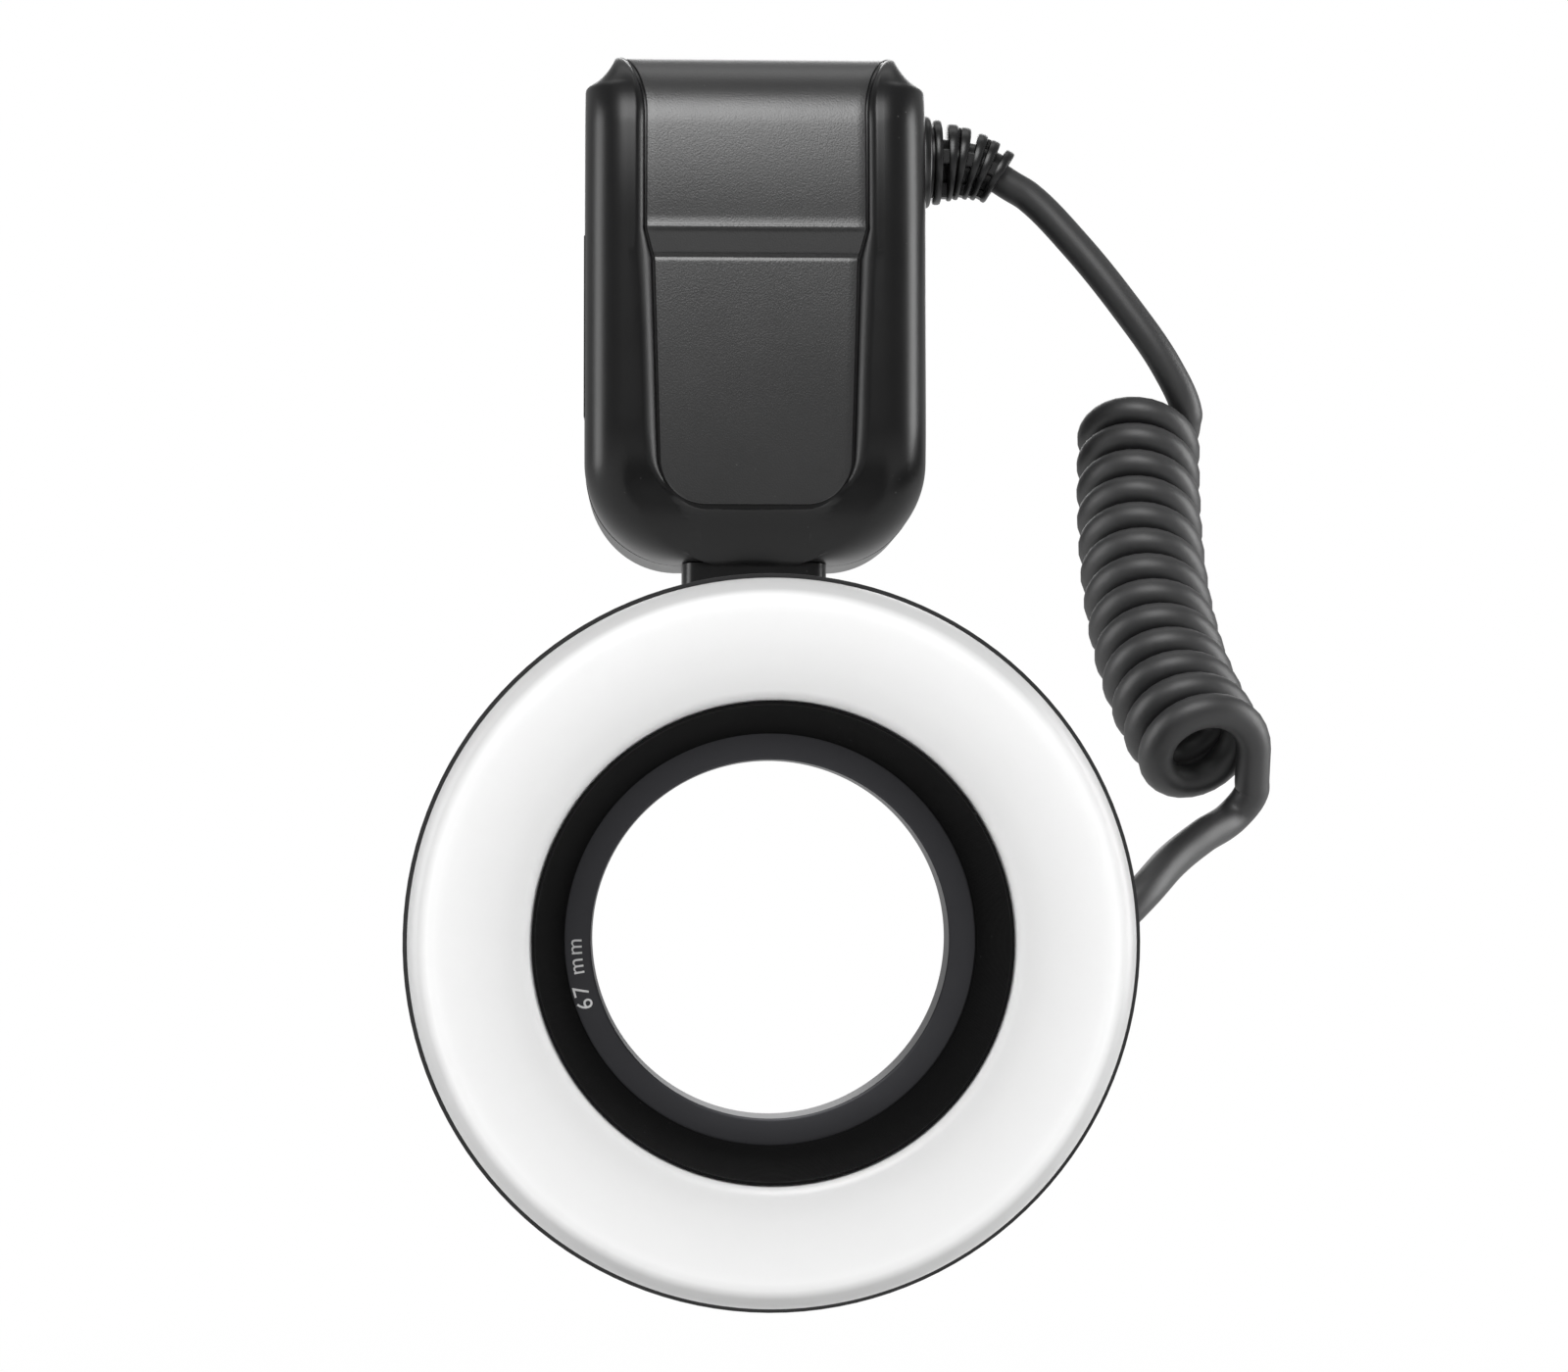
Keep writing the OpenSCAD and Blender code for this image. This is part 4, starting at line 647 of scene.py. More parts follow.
def front_line(up, cover):
    """Depth of the cover's front at a height, and the way that it faces there."""
    chin, rise_to, edge = cover.chin, cover.chin_height, CHIN_EDGE
    chin_y = chin - FRONT
    edge_y = chin_y - math.sqrt((chin - edge) ** 2 - (rise_to - edge) ** 2)
    edge_end = rise_to - chin * (rise_to - edge) / (chin - edge)
    if up < edge_end:
        middle, r = (edge_y, edge), edge
    elif up < rise_to:
        middle, r = (chin_y, rise_to), chin
    elif up < BODY_H - cover.roll:
        back, turn = crown(up, cover)
        return back - FRONT, Vector((0, -math.cos(turn), math.sin(turn)))
    else:
        roll_y, roll_up, r = roll_circle(cover)
        middle = (roll_y, roll_up)
    out = arc_half(r, up - middle[1])
    return middle[0] - out, Vector((0, -out, up - middle[1])).normalized()


def eased(t, soft):
    """From 0 to 1 as t goes from 0 to 1, with both ends rounded off."""
    def bend(v):
        if v <= -soft:
            return 0.0
        return v if v >= soft else (v + soft) ** 2 / (4 * soft)
    return bend(t) - bend(t - 1)


def panel_line(up, cover, beaded=True):
    """Depth of the panel's face at a height: crowned, a step, crowned, and the roll over the top."""
    rise = eased((up - STEP_UP) / STEP_H, STEP_SOFT)
    flat = cover.recess_lower + (cover.recess_upper - cover.recess_lower) * rise - FRONT
    half = (STEP_UP - PANEL_BOTTOM) / 2
    flat -= LOWER_CROWN * max(0.0, 1 - ((up - PANEL_BOTTOM - half) / half) ** 2)
    if beaded:
        flat -= BEAD * math.exp(-((up - STEP_UP - STEP_H - BEAD_UP) / BEAD_WIDE) ** 2)
        flat += BEAD * math.exp(-((up - STEP_UP - CREASE_UP) / CREASE_WIDE) ** 2)
    if up <= BODY_H - cover.roll:
        return flat + crown(up, cover)[0]
    roll_y, roll_up, r = roll_circle(cover)
    return cover.recess_upper + roll_y - arc_half(r, up - roll_up)


def panel_half(up, out=0.0):
    """Half the panel's width at a height, let out by a margin."""
    foot = PANEL_BOTTOM + PANEL_CORNER
    if up < foot:
        return PANEL_FOOT - PANEL_CORNER + arc_half(PANEL_CORNER + out, foot - up)
    flare = BODY_H - FLARE_H
    marks = ((foot, PANEL_FOOT), (STEP_UP, PANEL_LOW), (STEP_UP + STEP_H, PANEL_HALF), (flare, PANEL_HALF))
    for (a, wide_a), (b, wide_b) in zip(marks, marks[1:]):
        if up <= b:
            return wide_a + (wide_b - wide_a) * (up - a) / (b - a) + out
    run = PANEL_TOP - PANEL_HALF
    r = (FLARE_H ** 2 + run ** 2) / (2 * run)
    return PANEL_HALF + r - arc_half(r, up - flare) + out


def panel_distance(x, up):
    """Distance of a point of the front from the panel's outline, below 0 inside it."""
    foot = PANEL_BOTTOM + PANEL_CORNER
    if up >= foot:
        return abs(x) - panel_half(up)
    across, down = abs(x) - (PANEL_FOOT - PANEL_CORNER), foot - up
    outside = math.hypot(max(across, 0.0), max(down, 0.0))
    return outside + min(max(across, down), 0.0) - PANEL_CORNER


def rolled_edge(x, up, cover, face):
    """How far the cover's front is set back at a point, by the rolled edge down to the panel's groove."""
    depth = panel_line(up, cover, False) - face + GROOVE
    top = BODY_H - cover.roll
    if up > top:
        depth = cover.recess_upper * arc_half(1.0, min(1.0, (up - top) / cover.roll)) + GROOVE
    t = 1 - panel_distance(x, up) / max(LEAST_ROLL, abs(depth) * ROLL_WIDE)
    if t <= 0:
        return 0.0
    if t >= 1:
        return depth
    return depth * (ROLL_SLOPE * eased(t, ROLL_SOFT) + (1 - ROLL_SLOPE) * (1 - arc_half(1.0, t)))


def cover_heights(cover):
    """Heights of the front cover's sections, closer together where it bends."""
    turns = [i * math.pi / 2 / TURN_STEPS for i in range(TURN_STEPS + 1)]
    ups = [cover.corner * (1 - math.cos(t)) for t in turns]
    ups += [BODY_H - cover.roll + cover.roll * math.sin(t) for t in turns]
    for start, step, count in HEIGHT_RUNS:
        ups += [start + step * i for i in range(count)]
    ups += [*HOLE_UP, 0.0, BODY_H]
    kept = []
    for up in sorted(ups):
        if up in HOLE_UP and kept and up - kept[-1] < HOLE_MERGE:
            kept[-1] = up
        elif not kept or up - kept[-1] > ROW_MERGE:
            kept.append(up)
    kept[-1] = BODY_H
    return kept


def cover_section(up, cover, inner):
    """One section of the front cover from the left of the seam round the front to the right of it."""
    low, high = cover.wall, BODY_H - cover.wall
    lean = cover.wall + INNER_LEAN
    at = up
    if inner:
        at = low + up * (lean - low) / lean if up < lean else up
        at = high - (BODY_H - up) * (lean - low) / lean if BODY_H - up < lean else at
    wide = half_width(at, cover)
    face, out = front_line(at, cover)
    bare = panel_half(at) if at > PANEL_BOTTOM else 0.0
    cheek = max(LEAST_CHEEK, min(cover.cheek, wide - bare - CHEEK_GAP, -face - SEAM_LAND))
    if inner:
        wide -= cover.wall
        deep = max(face + cover.wall, BACKING - FRONT) - face
        face += deep
        cheek = max(LEAST_INNER, cheek - INNER_LOSS * deep)
    points = []
    for share in SIDE_SHARES:
        tuck = SEAM_TUCK if share == 0.0 else 0.0
        points.append(Vector((-wide + tuck, share * (face + cheek), at)))
    for a in CHEEK_TURNS:
        side = cheek * (1 - math.cos(a)) - wide
        points.append(Vector((side, face + cheek - cheek * math.sin(a), at)))
    for x in front_columns(at, wide - cheek):
        back = 0.0 if inner else rolled_edge(x, at, cover, face)
        points.append(Vector((-x, face, at)) - out * back)
    middle = 0.0 if inner else rolled_edge(0.0, at, cover, face)
    across = [Vector((-p.x, p.y, p.z)) for p in reversed(points)]
    return [*points, Vector((0, face, at)) - out * middle, *across]


def front_columns(up, flat):
    """Places across half the front, from where it is flat, over the panel's edge, towards the middle."""
    over = max(up, 0.0)
    edge = panel_half(over, EDGE_REACH) + EDGE_MARGIN
    columns = [flat + (edge - flat) * k / CHEEK_COLUMNS for k in range(1, CHEEK_COLUMNS)]
    for k in range(EDGE_COLUMNS + 1):
        spread = CORNER_SPREAD * (EDGE_COLUMNS - k) * corner_share(up)
        columns.append(panel_half(over, EDGE_REACH * (1 - k / EDGE_COLUMNS)) + spread)
    columns = [min(x, flat - LEAST_COLUMN * i) for i, x in enumerate(columns)]
    return columns + [columns[-1] * (1 - k / MIDDLE_COLUMNS) for k in range(1, MIDDLE_COLUMNS)]


def corner_share(up):
    """1 below the panel's lower corners, falling to 0 above them."""
    return min(1.0, max(0.0, (PANEL_BOTTOM + PANEL_CORNER - up) / PANEL_CORNER))


def seam_line(section):
    """Evenly spaced points on the straight line between a section's ends."""
    start, end = section[0], section[-1]
    last = len(section) - 1
    return [Vector((start.x + (end.x - start.x) * i / last, 0, start.z)) for i in range(last + 1)]


def cap_rows(section, steps):
    """Rows between the seam and a section, at the section's heights."""
    plain = [Vector((s.x, 0, p.z)) for s, p in zip(seam_line(section), section)]
    return [[a.lerp(b, step / CAP_ROWS) for a, b in zip(plain, section)] for step in steps]


def cover_rows(cover, inner):
    """All the rows of points over the front cover, with its underside and its top."""
    ups = cover_heights(cover)
    sections = [cover_section(up, cover, inner) for up in ups]
    low = cap_rows(sections[0], range(CAP_ROWS))
    high = cap_rows(sections[-1], range(CAP_ROWS - 1, 0, -1))
    return [*low, *sections, *high, seam_line(sections[-1])], ups, len(low)


def skin(built, grid, skipped=lambda k, i: False):
    """Faces over a grid of points, but for those that are skipped."""
    for k in range(len(grid) - 1):
        for i in range(len(grid[k]) - 1):
            if not skipped(k, i):
                built.faces.new((grid[k][i], grid[k][i + 1], grid[k + 1][i + 1], grid[k + 1][i]))


def round_trip(first, last, left, right):
    """Rows and columns met in going once round a part of a grid."""
    trip = [(first, i) for i in range(left, right)] + [(k, right) for k in range(first, last)]
    trip += [(last, i) for i in range(right, left, -1)] + [(k, left) for k in range(last, first, -1)]
    return trip


def join_round(built, trip, outer, inner):
    """Faces between two grids along a closed trip."""
    for (k, i), (m, j) in zip(trip, trip[1:] + trip[:1]):
        built.faces.new((outer[k][i], outer[m][j], inner[m][j], inner[k][i]))


def tidy_mesh(built):
    """Joins points that lie together, drops empty faces and turns all faces outward."""
    bmesh.ops.remove_doubles(built, verts=built.verts, dist=SAME_POINT)
    bmesh.ops.dissolve_degenerate(built, edges=built.edges, dist=SAME_POINT)
    bmesh.ops.recalc_face_normals(built, faces=built.faces)


def panel_rows(cover, inset):
    """Rows of the panel's face: height, point on the middle line, way it faces, way onward and half width."""
    foot = PANEL_BOTTOM + PANEL_CORNER
    bottom = PANEL_BOTTOM + inset
    start = BODY_H - cover.roll
    step_end = STEP_UP + STEP_H + STEP_CLEAR
    ups = [foot - (foot - bottom) * math.cos(math.radians(a)) for a in CORNER_TURNS]
    ups += [foot + (STEP_UP - STEP_CLEAR - foot) * i / LOWER_ROWS for i in range(LOWER_ROWS + 1)]
    ups += [STEP_UP - STEP_LEAD + STEP_SPACING * i for i in range(STEP_ROWS)]
    ups += [step_end + (start - step_end) * i / UPPER_ROWS for i in range(UPPER_ROWS)]
    rows = []
    half_span = SLOPE_SPAN / 2
    for up in ups:
        slope = (panel_line(up + half_span, cover) - panel_line(up - half_span, cover)) / SLOPE_SPAN
        out = Vector((0, -1, slope)).normalized()
        rows.append((up, Vector((0, panel_line(up, cover), up)), out, Vector((0, slope, 1)).normalized()))
    roll_y, roll_up, r = roll_circle(cover)
    back = cover.recess_upper + roll_y
    for i in range(ROLL_ROWS + 1):
        turn = CROWN + (math.pi / 2 - CROWN) * i / ROLL_ROWS
        out = Vector((0, -math.cos(turn), math.sin(turn)))
        middle = Vector((0, back, roll_up)) + r * out
        rows.append((middle.z, middle, out, Vector((0, math.sin(turn), math.cos(turn)))))
    for i in range(1, TAIL_ROWS + 1):
        share = i / TAIL_ROWS
        middle = Vector((0, back + (PANEL_END - back) * share, BODY_H + PANEL_LIFT * share))
        rows.append((BODY_H, middle, Vector((0, 0, 1)), Vector((0, 1, 0))))
    return [(up, middle, out, onward, panel_half(up, -inset)) for up, middle, out, onward in rows]


def relief_axis(s, shape):
    """Point, direction and upright of a relief's bent axis at a distance along it."""
    place, go, rise, straight, run, bend = shape
    if s <= straight or bend == 0.0:
        return place + go * s, go, rise
    r = run / bend
    a = min(s - straight, run) / r
    point = place + go * (straight + r * math.sin(a)) - rise * (r * (1 - math.cos(a)))
    along = go * math.cos(a) - rise * math.sin(a)
    point += along * max(0.0, s - straight - run)
    return point, along, rise * math.cos(a) + go * math.sin(a)


def rib_outline(s, half, core, r):
    """The rounded outline of one rib round a relief."""
    soft = min(half, RIB_SOFT)
    rise = [(-half, core), (-half, r - soft), (0.3 * soft - half, r - 0.3 * soft), (soft - half, r)]
    return [(s + a, b) for a, b in rise] + [(s - a, b) for a, b in reversed(rise)]


def relief_mesh(name, shape, collar):
    """A slotted strain relief: its collar, a flange and five thick ribs that narrow towards the cord."""
    built = bmesh.new()
    ribs = [(s, RIB_RADIUS - RIB_TAPER * (s - RIB_PLACES[0])) for s in RIB_PLACES]
    outline = [(RELIEF_FOOT, 0.0), *collar, (NECK_START, NECK), (NECK_END, NECK)]
    outline += [*rib_outline(FLANGE_AT, FLANGE_HALF, NECK, FLANGE_RADIUS)[1:-1], FLANGE_FOOT]
    for s, r in ribs:
        outline += rib_outline(s, RIB_HALF, RELIEF_CORE, r)
    end = ribs[-1][0] + RIB_HALF
    inside = end - MOUTH_DEEP
    outline += [(end, MOUTH), (inside, MOUTH - MOUTH_DEEP), (inside, 0.0)]
    turns = [2 * math.pi * k / RELIEF_TURNS for k in range(RELIEF_TURNS)]
    rings = []
    for s, r in outline:
        point, along, rise = relief_axis(s, shape)
        side = rise.cross(along)
        around = turns if r else turns[:1]
        rings.append([built.verts.new(point + r * (math.cos(a) * side + math.sin(a) * rise)) for a in around])
    for a, b in zip(rings, rings[1:]):
        for k in range(RELIEF_TURNS):
            m = (k + 1) % RELIEF_TURNS
            corners = [a[k % len(a)], a[m % len(a)], b[m % len(b)], b[k % len(b)]]
            built.faces.new(list(dict.fromkeys(corners)))
    gaps = [(FIRST_BAR, ribs[0][0], FIRST_BAR_TOP)]
    gaps += [(near[0], far[0], far[1] - BAR_SOFT) for near, far in zip(ribs, ribs[1:])]
    for number, (start, stop, r) in enumerate(gaps):
        for turn in BAR_TURNS[number % 2]:
            bridge(built, shape, start, stop, RELIEF_CORE - BAR_SUNK, r, math.radians(turn))
    tidy_mesh(built)
    return from_bmesh(name, built, 40.0)


def bridge(built, shape, start, stop, low, high, turn):
    """One bar that joins two ribs of a relief across the slot between them."""
    corners = []
    shoulder, flat = high - BAR_SOFT, BAR_HALF - BAR_SOFT
    for s in (start, stop):
        point, along, rise = relief_axis(s, shape)
        side = rise.cross(along)
        out = math.cos(turn) * side + math.sin(turn) * rise
        across = math.cos(turn) * rise - math.sin(turn) * side
        for r, wide in ((low, -BAR_HALF), (low, BAR_HALF), (shoulder, BAR_HALF), (high, flat), (high, -flat),
                        (shoulder, -BAR_HALF)):
            corners.append(built.verts.new(point + r * out + wide * across))
    near, far = corners[:6], corners[6:]
    built.faces.new(near)
    built.faces.new(far)
    for i in range(6):
        built.faces.new((near[i], near[(i + 1) % 6], far[(i + 1) % 6], far[i]))


def lettering(name, words, size, place, material, body, spread=1.0):
    """Printed words or numbers: each point (across, up, off) of the flat letters goes where place puts it."""
    letters = bpy.data.curves.new(name, "FONT")
    letters.body = words
    letters.size = size
    letters.align_x = "CENTER"
    letters.align_y = "CENTER"
    letters.space_character = spread
    letters.resolution_u = 4
    letters.extrude = PRINT_THICK
    flat = bpy.data.objects.new(name, letters)
    bpy.context.scene.collection.objects.link(flat)
    depsgraph = bpy.context.evaluated_depsgraph_get()
    mesh = bpy.data.meshes.new_from_object(flat.evaluated_get(depsgraph))
    bpy.data.objects.remove(flat)
    bpy.data.curves.remove(letters)
    for point in mesh.vertices:
        point.co = place(*point.co)
    mesh.name = name
    piece = bpy.data.objects.new(name, mesh)
    bpy.context.scene.collection.objects.link(piece)
    dress(piece, material)
    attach(piece, body)


class BuildStage(bpy.types.Operator):
    """Camera, pale floor and soft lamps"""
    bl_idname = "ring_flash.stage"
    bl_label = "Stage"

    def execute(self, context):
        stage = context.scene.ring_flash_stage
        camera = bpy.data.objects.new("Camera", bpy.data.cameras.new("Camera"))
        context.scene.collection.objects.link(camera)
        camera.data.sensor_width = 36.0
        camera.data.lens = stage.lens
        camera.data.clip_start = 0.05
        camera.location = (CAMERA_X, -stage.distance, CAMERA_Z)
        camera.rotation_euler = Euler((CAMERA_TILT, 0.0, CAMERA_PAN))
        context.scene.camera = camera
        self.floor(context, stage)
        self.lamps(context, stage)
        context.scene.view_settings.view_transform = "Standard"
        return {"FINISHED"}

    def floor(self, context, stage):
        """A pale floor, white to the camera and through glass but for a faint shadow."""
        built = bmesh.new()
        bmesh.ops.create_grid(built, x_segments=1, y_segments=1, size=FLOOR_HALF)
        floor = from_bmesh("floor", built)
        floor.location.z = cad_box[0].z - stage.drop
        made, tree, shader = new_material("Pale floor")
        set_inputs(tree, shader, {"Base Color": PALE, "Roughness": 0.9, "Specular IOR Level": 0.0})
        white = add_node(tree, "ShaderNodeEmission", {"Color": WHITE, "Strength": 1.0})
        ray = add_node(tree, "ShaderNodeLightPath")
        mirrored = maths(tree, "MULTIPLY", ray.outputs["Is Glossy Ray"], FLOOR_MIRRORED)
        seen = maths(tree, "MAXIMUM", ray.outputs["Is Camera Ray"], mirrored)
        seen = maths(tree, "MAXIMUM", seen, ray.outputs["Is Transmission Ray"])
        far = add_node(tree, "ShaderNodeVectorMath", {0: own_place(tree)}, operation="LENGTH")
        white_part = map_range(tree, far.outputs["Value"], *SHADOW_REACH, *SHADOW_WHITE)
        part = maths(tree, "MULTIPLY", seen, white_part)
        mixed = add_node(tree, "ShaderNodeMixShader", {0: part, 1: shader.outputs[0], 2: white.outputs[0]})
        tree.links.new(mixed.outputs[0], tree.nodes["Material Output"].inputs["Surface"])
        dress(floor, made)

    def lamps(self, context, stage):
        """A high soft lamp ahead, an upright strip on each side, lamps overhead and behind, and the room."""
        for name, place, wide, tall, power in LAMPS:
            lamp = bpy.data.lights.new(name, "AREA")
            lamp.shape = "RECTANGLE"
            lamp.size = wide
            lamp.size_y = tall
            lamp.energy = stage.lamp * power
            made = bpy.data.objects.new("lamp_" + name, lamp)
            made.location = place
            made.rotation_euler = (LAMP_AIM - Vector(place)).to_track_quat("-Z", "Y").to_euler()
            context.scene.collection.objects.link(made)
        world = context.scene.world or bpy.data.worlds.new("Room")
        context.scene.world = world
        world.use_nodes = True
        tree = world.node_tree
        tree.nodes.clear()
        room = add_node(tree, "ShaderNodeBackground", {"Color": WHITE, "Strength": ROOM_LIGHT})
        seen = add_node(tree, "ShaderNodeBackground", {"Color": WHITE, "Strength": 1.0})
        ray = add_node(tree, "ShaderNodeLightPath")
        both = maths(tree, "MAXIMUM", ray.outputs["Is Camera Ray"], ray.outputs["Is Transmission Ray"])
        towards = add_node(tree, "ShaderNodeTexCoord").outputs["Generated"]
        depth = add_node(tree, "ShaderNodeSeparateXYZ", {0: towards}).outputs["Y"]
        behind = maths(tree, "MULTIPLY", map_range(tree, depth, *BACKDROP_DEPTHS), BACKDROP_MIRRORED)
        mirrored = maths(tree, "MULTIPLY", ray.outputs["Is Glossy Ray"], behind)
        both = maths(tree, "MAXIMUM", both, mirrored)
        mixed = add_node(tree, "ShaderNodeMixShader", {0: both, 1: room.outputs[0], 2: seen.outputs[0]})
        output = tree.nodes.new("ShaderNodeOutputWorld")
        tree.links.new(mixed.outputs[0], output.inputs["Surface"])


class BuildCord(bpy.types.Operator):
    """The curly cord between the two reliefs, as one tube"""
    bl_idname = "ring_flash.cord"
    bl_label = "Curly cord"

    def execute(self, context):
        cord = context.scene.ring_flash_cord
        route = cord_route(cord)
        line = bpy.data.curves.new("curly_cord", "CURVE")
        line.dimensions = "3D"
        line.bevel_depth = cord.diameter / 2
        line.bevel_resolution = 8
        line.use_fill_caps = True
        spline = line.splines.new("POLY")
        spline.points.add(len(route) - 1)
        for point, place in zip(spline.points, route):
            point.co = (*place, 1.0)
        spline.use_smooth = True
        piece = bpy.data.objects.new("curly_cord", line)
        context.scene.collection.objects.link(piece)
        dress(piece, moulded_plastic("Cord rubber", cord.colour, 0.50, grain=2200.0, cells=0.7, bump=0.25,
                                     rub=0.0, specular=0.6))
        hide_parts("cord_upper", "cord_coil", "cord_lower")
        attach(piece, "flash")
        return {"FINISHED"}


class BuildRing(bpy.types.Operator):
    """Diffuser, bore liner and adapter ring, turned to their fine outlines"""
    bl_idname = "ring_flash.ring"
    bl_label = "Ring head"

    def execute(self, context):
        ring = context.scene.ring_flash_ring
        self.diffuser(ring)
        self.liner(ring)
        self.adapter(ring)
        black = moulded_plastic("Ring housing", ring.housing, 0.42, grain=1900.0, cells=0.6, bump=0.20)
        dress(soften("ring_housing", 0.0003, 12.0), black)
        return {"FINISHED"}

    def diffuser(self, ring):
        """The milky cap, crowned a little across its front."""
        outer = (diffuser_high.x - diffuser_low.x) / 2
        front = -diffuser_low.y
        seat = -diffuser_high.y
        inner, wall = 0.0415, 0.0018
        rim, lip, step = front - 0.0006, front - 0.0004, front - 0.004
        corners = [(outer, seat, 0.0), (outer, rim, ring.edge_radius), ((outer + inner) / 2, front, 0.03),
                   (inner, lip, ring.inner_edge), (inner, step, 0.0002), (inner + wall, step, 0.0002),
                   (inner + wall, lip - wall, 0.0005), (outer - wall, rim - wall, 0.0035),
                   (outer - wall, seat, 0.0)]
        piece = lathe("diffuser_cap", filleted(corners))
        dress(piece, milky_plastic("Milky plastic", ring.milk))
        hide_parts("diffuser")
        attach(piece, "flash")

    def liner(self, ring):
        """The black funnel with its fine grooves."""
        plate = (liner_high.x - liner_low.x) / 2
        front = -liner_low.y
        back = -liner_high.y
        top = back + 0.0014
        step = front - 0.0028
        mouth, tube = 0.0411, 0.0446
        collar = mouth + 0.00035
        outline = [(ring.lip_radius, back), (plate, back), (plate, top), (tube, top), (tube, step),
                   (collar, step), (collar, front), (mouth - 0.0001, front)]
        run, land, groove = front - top, 0.0006, 0.00028
        for i in range(ring.grooves):
            for share, deep in ((0.0, 0.0), (0.45, 0.0), (0.6, groove), (0.85, groove)):
                f = front - land - (run - 2 * land) * (i + share) / ring.grooves
                r = ring.lip_radius + (mouth - ring.lip_radius) * (f - top) / run
                outline.append((r + deep, f))
        outline.append((ring.lip_radius, top))
        piece = lathe("bore_funnel", outline)
        dress(piece, moulded_plastic("Bore black", (0.002, 0.002, 0.0021), 0.75, grain=2600.0, cells=0.2,
                                     bump=0.08, rub=0.0, specular=0.1))
        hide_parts("bore_liner")
        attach(piece, "flash")

    def adapter(self, ring):
        """The anodised adapter ring with its thread."""
        flange = (adapter_high.x - adapter_low.x) / 2
        face = -adapter_low.y
        back = -barrel_high.y
        bore, thread, body = 0.0317, 0.0335, 0.0373
        under, start = face - 0.0017, back + 0.003
        pitch, deep = 0.00075, 0.0004
        crest = back + 0.0028
        outline = filleted([
            (bore, face - 0.0002, 0.0003), (bore + 0.0006, face, 0.0), (flange, face, 0.0004),
            (flange, under, 0.0003), (body, under, 0.0), (body, back + 0.004, 0.0004),
            (body - 0.001, start, 0.0), (thread + 0.001, start, 0.0), (thread + 0.001, crest, 0.0)])
        while crest - pitch > back:
            outline += [(thread - deep, crest), (thread, crest - 0.35 * pitch), (thread, crest - 0.5 * pitch),
                        (thread - deep, crest - 0.85 * pitch)]
            crest -= pitch
        outline += [(thread - deep, back), (bore, back)]
        piece = lathe("adapter_turned", outline)
        dress(piece, metal("Anodised grey", ring.anodised, 0.46, grain=2400.0, bump=0.25))
        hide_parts("adapter_ring", "adapter_barrel")
        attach(piece, "adapter_ring")


class BuildFrontCover(bpy.types.Operator):
    """The front cover's hollow shell, and the grained panel set into it"""
    bl_idname = "ring_flash.front_cover"
    bl_label = "Front cover and panel"

    def execute(self, context):
        cover = context.scene.ring_flash_controller
        self.shell(cover)
        self.panel(cover)
        return {"FINISHED"}

    def shell(self, cover):
        """The cover's outside, its inside, its rim at the seam and the battery's opening."""
        built = bmesh.new()
        outer_rows, ups, below = cover_rows(cover, False)
        inner_rows = cover_rows(cover, True)[0]
        outer = [[built.verts.new(p + LIFT) for p in row] for row in outer_rows]
        inner = [[built.verts.new(p + LIFT) for p in row] for row in inner_rows]
        first, last = (below + ups.index(up) for up in HOLE_UP)
        left, right = HOLE_COLUMNS

        def open_bay(k, i):
            return first <= k < last and left <= i < right
        for grid in (outer, inner):
            skin(built, grid, open_bay)
        join_round(built, round_trip(0, len(outer) - 1, 0, len(outer[0]) - 1), outer, inner)
        join_round(built, round_trip(first, last, left, right), outer, inner)
        tidy_mesh(built)
        piece = from_bmesh("front_shell", built, 40.0)
        dress(piece, moulded_plastic("Satin black front", cover.cover, 0.32, grain=2400.0, cells=0.3,
                                     bump=0.05, rub=0.03, specular=0.28))
        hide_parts("front_cover")
        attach(piece, "flash")

    def panel(self, cover):
        """The grained panel: its stepped and rolled face, its rounded edge and its back."""
        edge, thick = 0.0003, 0.0010
        half_columns = 12
        columns = range(-half_columns, half_columns + 1)
        built = bmesh.new()
        rows = panel_rows(cover, PANEL_GAP + edge)
        face, back = [], []
        for _, middle, out, _, half in rows:
            line = [middle + LIFT + Vector((half * j / half_columns, 0, 0)) for j in columns]
            face.append([built.verts.new(p) for p in line])
            back.append([built.verts.new(p - out * (edge + thick)) for p in line])
        skin(built, face)
        skin(built, back)
        last_row, last_column = len(rows) - 1, 2 * half_columns
        hands = {0: -1, last_column: 1}
        trip = round_trip(0, last_row, 0, last_column)
        loops = [[face[k][i] for k, i in trip]]
        for turn, deep in ((30, 0.0), (60, 0.0), (90, 0.0), (90, thick)):
            a = math.radians(turn)
            sink = edge * (1 - math.cos(a)) + deep
            loop = []
            for k, i in trip:
                away = self.away(rows[k], hands.get(i, 0), k == 0, k == last_row)
                loop.append(built.verts.new(face[k][i].co + away * edge * math.sin(a) - rows[k][2] * sink))
            loops.append(loop)
        loops.append([back[k][i] for k, i in trip])
        count = len(trip)
        for a, b in zip(loops, loops[1:]):
            for n in range(count):
                built.faces.new((a[n], a[(n + 1) % count], b[(n + 1) % count], b[n]))
        tidy_mesh(built)
        piece = from_bmesh("front_panel_skin", built, 50.0)
        dress(piece, moulded_plastic("Grained panel", cover.panel, 0.36, grain=3000.0, cells=0.8, bump=0.5,
                                     rub=0.0, depth=0.00006, specular=0.75))
        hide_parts("front_panel")
        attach(piece, "flash")

    def away(self, row, hand, first, last):
        """The way out of the panel's outline, along its face; hand is -1 or 1 at its left or right edge."""
        up, _, _, onward, half = row
        side = Vector((hand, 0, 0))
        if last:
            return (onward + side).normalized()
        if first:
            return -onward
        foot = PANEL_BOTTOM + PANEL_CORNER
        if up < foot:
            return (side * (half - PANEL_FOOT + PANEL_CORNER) - onward * (foot - up)).normalized()
        return side


